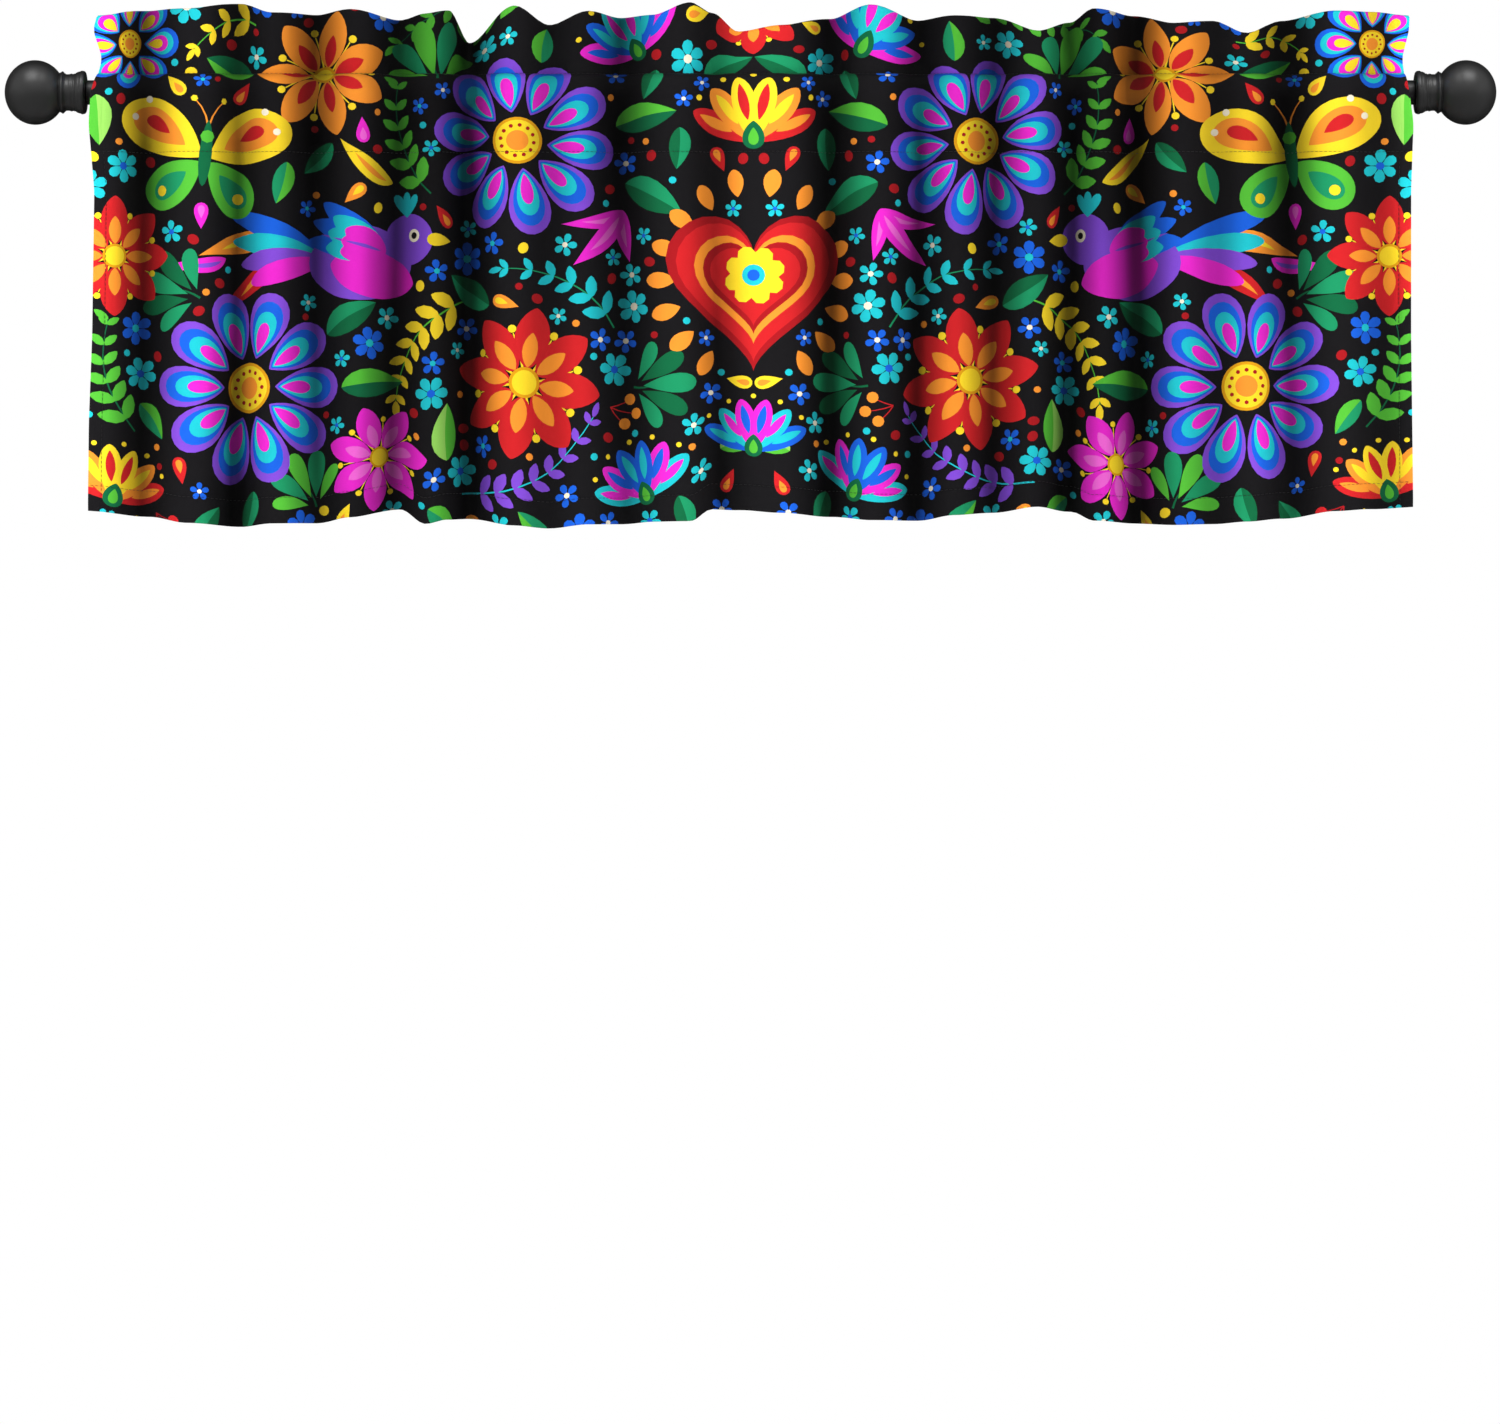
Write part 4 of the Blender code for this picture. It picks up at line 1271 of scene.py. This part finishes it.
def dye(tree, shader, ink, place, mottle, shade=1.0):
    """The shader's colour: an ink that is a little uneven, darkened by a painted shade where one is given.
    """
    colour = use_group(tree, DYED, Colour=ink, Place=place, Shade=shade, Mottle=mottle)["Colour"]
    tree.links.new(colour, shader.inputs["Base Color"])


def add_bump(tree, shader, height, distance, strength, over=None):
    """A bump on the shader, laid over another bump where one is given."""
    inputs = {"Height": height, "Distance": distance, "Strength": strength}
    if over:
        inputs["Normal"] = over
    normal = add_node(tree, "Bump", inputs).outputs[0]
    tree.links.new(normal, shader.inputs["Normal"])
    return normal


def cloth_finish(name, slub, mottle, undyed=None, **sockets):
    """Woven polyester, its print in the mesh, its face's folds darkened by painted shade. On an undyed side
    the print only shows through.
    """
    material, tree, shader = new_material(name, **sockets)
    place = add_node(tree, "UVMap", uv_map="flat cloth").outputs[0]
    ink = add_node(tree, "VertexColor", layer_name="print").outputs[0]
    weave = use_group(tree, WOVEN, Place=place, Threads=THREADS_PER_METRE, Slub=slub)
    shade = weave["Shade"]
    if undyed:
        ink = add_node(tree, "Mix", {0: SHOWING_THROUGH, 6: undyed, 7: ink}, data_type="RGBA").outputs[2]
    else:
        # Painted shade: the face's colour is darkened in its folds.
        painted_fold_shade = add_node(tree, "Attribute", attribute_name="painted_fold_shade").outputs["Fac"]
        shade = calculate(tree, "MULTIPLY", shade, painted_fold_shade)
    dye(tree, shader, ink, place, mottle, shade)
    sewn = add_bump(tree, shader, use_group(tree, PUCKERS, Place=place)["Height"], 0.0007, 1.0)
    add_bump(tree, shader, weave["Height"], 0.00012, 0.5, sewn)
    return material


def thread_finish():
    """Dark polyester thread, its two plies twisted round each other."""
    material, tree, shader = new_material("dark_thread", Roughness=0.6, Specular_IOR_Level=0.3)
    place = add_node(tree, "TexCoord").outputs["Object"]
    twist = add_node(
        tree, "TexWave", {"Vector": place, "Scale": 900.0, "Distortion": 0.6},
        wave_type="BANDS", bands_direction="DIAGONAL",
    )
    dye(tree, shader, linear_grey(30), place, 0.2)
    add_bump(tree, shader, twist.outputs[1], 0.00006, 0.5)
    return material


def black_paint_finish(name, gloss, grey):
    """Black satin paint on metal."""
    material, tree, shader = new_material(name, Specular_IOR_Level=0.9)
    place = add_node(tree, "TexCoord").outputs["Object"]
    paint = use_group(tree, PAINTED, Place=place, Grain=900.0, Gloss=gloss)
    dye(tree, shader, linear_grey(grey), place, 0.12)
    tree.links.new(paint["Roughness"], shader.inputs["Roughness"])
    add_bump(tree, shader, paint["Height"], 0.00008, 0.25)
    return material


def floor_finish():
    """A matt pale floor with a faint mottle."""
    material, tree, shader = new_material("pale_floor", Roughness=0.9, Specular_IOR_Level=0.2)
    dye(tree, shader, linear_grey(236), add_node(tree, "TexCoord").outputs["Object"], 0.02)
    return material


# ---------------------------------------------------------------- camera, light and floor
def make_camera():
    """A camera level with the middle of the photograph, far enough away to see the object flat."""
    lens = bpy.data.cameras.new("camera")
    lens.sensor_width = 36.0
    lens.lens = lens.sensor_width * CAMERA_DISTANCE / (PHOTO_WIDTH * METRES_PER_PIXEL)
    lens.clip_end = 60.0
    camera = linked("camera", lens)
    x = (PHOTO_WIDTH / 2.0 - ROD_COLUMN) * METRES_PER_PIXEL
    z = (ROD_ROW - PHOTO_HEIGHT / 2.0) * METRES_PER_PIXEL
    camera.location = (x, -CAMERA_DISTANCE, z)
    camera.rotation_euler = (math.pi / 2.0, 0.0, 0.0)
    bpy.context.scene.camera = camera


def area_light(name, location, rotation, size, watts, mirrored=False, spread=180.0):
    """A square-cornered soft light that the camera doesn't see. mirrored is whether paint reflects it."""
    lamp = bpy.data.lights.new(name, "AREA")
    lamp.shape = "RECTANGLE"
    lamp.size, lamp.size_y = size
    lamp.energy = watts
    lamp.spread = math.radians(spread)
    light = linked(name, lamp)
    light.location = location
    light.rotation_euler = rotation
    light.visible_camera = False
    light.visible_glossy = mirrored


def facing(azimuth, elevation, distance, aside=0.0):
    """A place and turn that face the valance, moved aside along it.

    azimuth is 0 in front and 90 at the right.
    """
    side, lift = math.radians(azimuth), math.radians(elevation)
    middle_height = (HEM_LEVEL + HEADER_HEIGHT) / 2.0
    location = (
        distance * math.sin(side) * math.cos(lift) + aside,
        -distance * math.cos(side) * math.cos(lift),
        distance * math.sin(lift) + middle_height,
    )
    return location, (math.pi / 2.0 - lift, 0.0, side)


def make_surroundings():
    """White to the camera, an even soft light on the cloth, and lightest above the front in the paint."""
    world = bpy.data.worlds.new("white surroundings")
    world.use_nodes = True
    tree = world.node_tree
    tree.nodes.clear()
    way = add_node(tree, "SeparateXYZ", {0: add_node(tree, "TexCoord").outputs["Generated"]}).outputs
    # Which way the light comes from, where its change starts and stops, and its value there.
    above, in_front = (
        add_node(
            tree, "MapRange",
            {"Value": way[axis], "From Min": start, "From Max": stop, "To Min": first, "To Max": last},
            interpolation_type="SMOOTHSTEP",
        ).outputs[0]
        for axis, start, stop, first, last in ((2, -0.15, 0.25, 0.15, 0.5), (1, -0.1, 0.5, 1.0, 0.06))
    )
    path = add_node(tree, "LightPath").outputs
    paint = calculate(tree, "MULTIPLY", above, in_front)
    strength = mixed(tree, path["Is Camera Ray"], mixed(tree, path["Is Glossy Ray"], 0.27, paint), 1.0)
    light = add_node(tree, "Background", {"Color": (1.0, 1.0, 1.0, 1.0), "Strength": strength})
    add_node(tree, "OutputWorld", {"Surface": light.outputs[0]})
    bpy.context.scene.world = world


def make_light():
    """On each side a softbox at the front, one above and one behind, and one low over the floor."""
    for name, side in (("left", -1.0), ("right", 1.0)):
        area_light(name + " softbox", *facing(side * 62.0, 4.0, 3.0), (0.8, 2.2), 98.0)
        area_light(name + " top softbox", *facing(0.0, 60.0, 2.6, side * 1.1), (1.7, 1.5), 5.4, True, 84.0)
        area_light(name + " back softbox", *facing(side * 145.0, 14.0, 3.0), (1.2, 1.6), 29.0)
    area_light("floor softbox", (0.0, -1.6, -0.65), (0.0, 0.0, 0.0), (6.8, 6.0), 40.0)


def make_floor():
    """A pale floor under the valance."""
    half_x, front, back, thick = 3.0, -3.0, 0.9, 0.02
    shape = bmesh.new()
    bmesh.ops.create_cube(shape, size=1.0)
    bmesh.ops.scale(shape, vec=(2.0 * half_x, back - front, thick), verts=shape.verts)
    middle_floor = (0.0, (front + back) / 2.0, FLOOR_LEVEL - thick / 2.0)
    bmesh.ops.translate(shape, vec=middle_floor, verts=shape.verts)
    mesh = bpy.data.meshes.new("floor")
    shape.to_mesh(mesh)
    shape.free()
    mesh.materials.append(floor_finish())
    floor = linked("floor", mesh)
    floor.visible_glossy = False


# ---------------------------------------------------------------- putting it together
def ride_and_replace(piece, node):
    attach(piece, "root")
    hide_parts(node)


def make_valance():
    rod = make_rod(black_paint_finish("rod_paint", 0.36, 30))
    ride_and_replace(rod, "rod")
    finial_paint = black_paint_finish("finial_paint", 0.36, 25)
    for name, side in (("finial_left", -1), ("finial_right", 1)):
        finial = make_finial(name + "_turned", side, finial_paint)
        ride_and_replace(finial, name)
    face = cloth_finish("printed_face", 0.5, 0.1, Roughness=0.78, Specular_IOR_Level=0.1)
    undyed = (0.80, 0.79, 0.77, 1.0)
    wrong_side = cloth_finish("wrong_side", 0.6, 0.06, undyed, Roughness=0.82, Specular_IOR_Level=0.2)
    sheet = make_cloth(face, wrong_side)
    ride_and_replace(sheet, "valance_cloth")
    thread = make_stitches(thread_finish())
    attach(thread, "root")


bpy.context.scene.view_settings.view_transform = "Standard"
make_camera()
make_valance()
make_surroundings()
make_light()
make_floor()
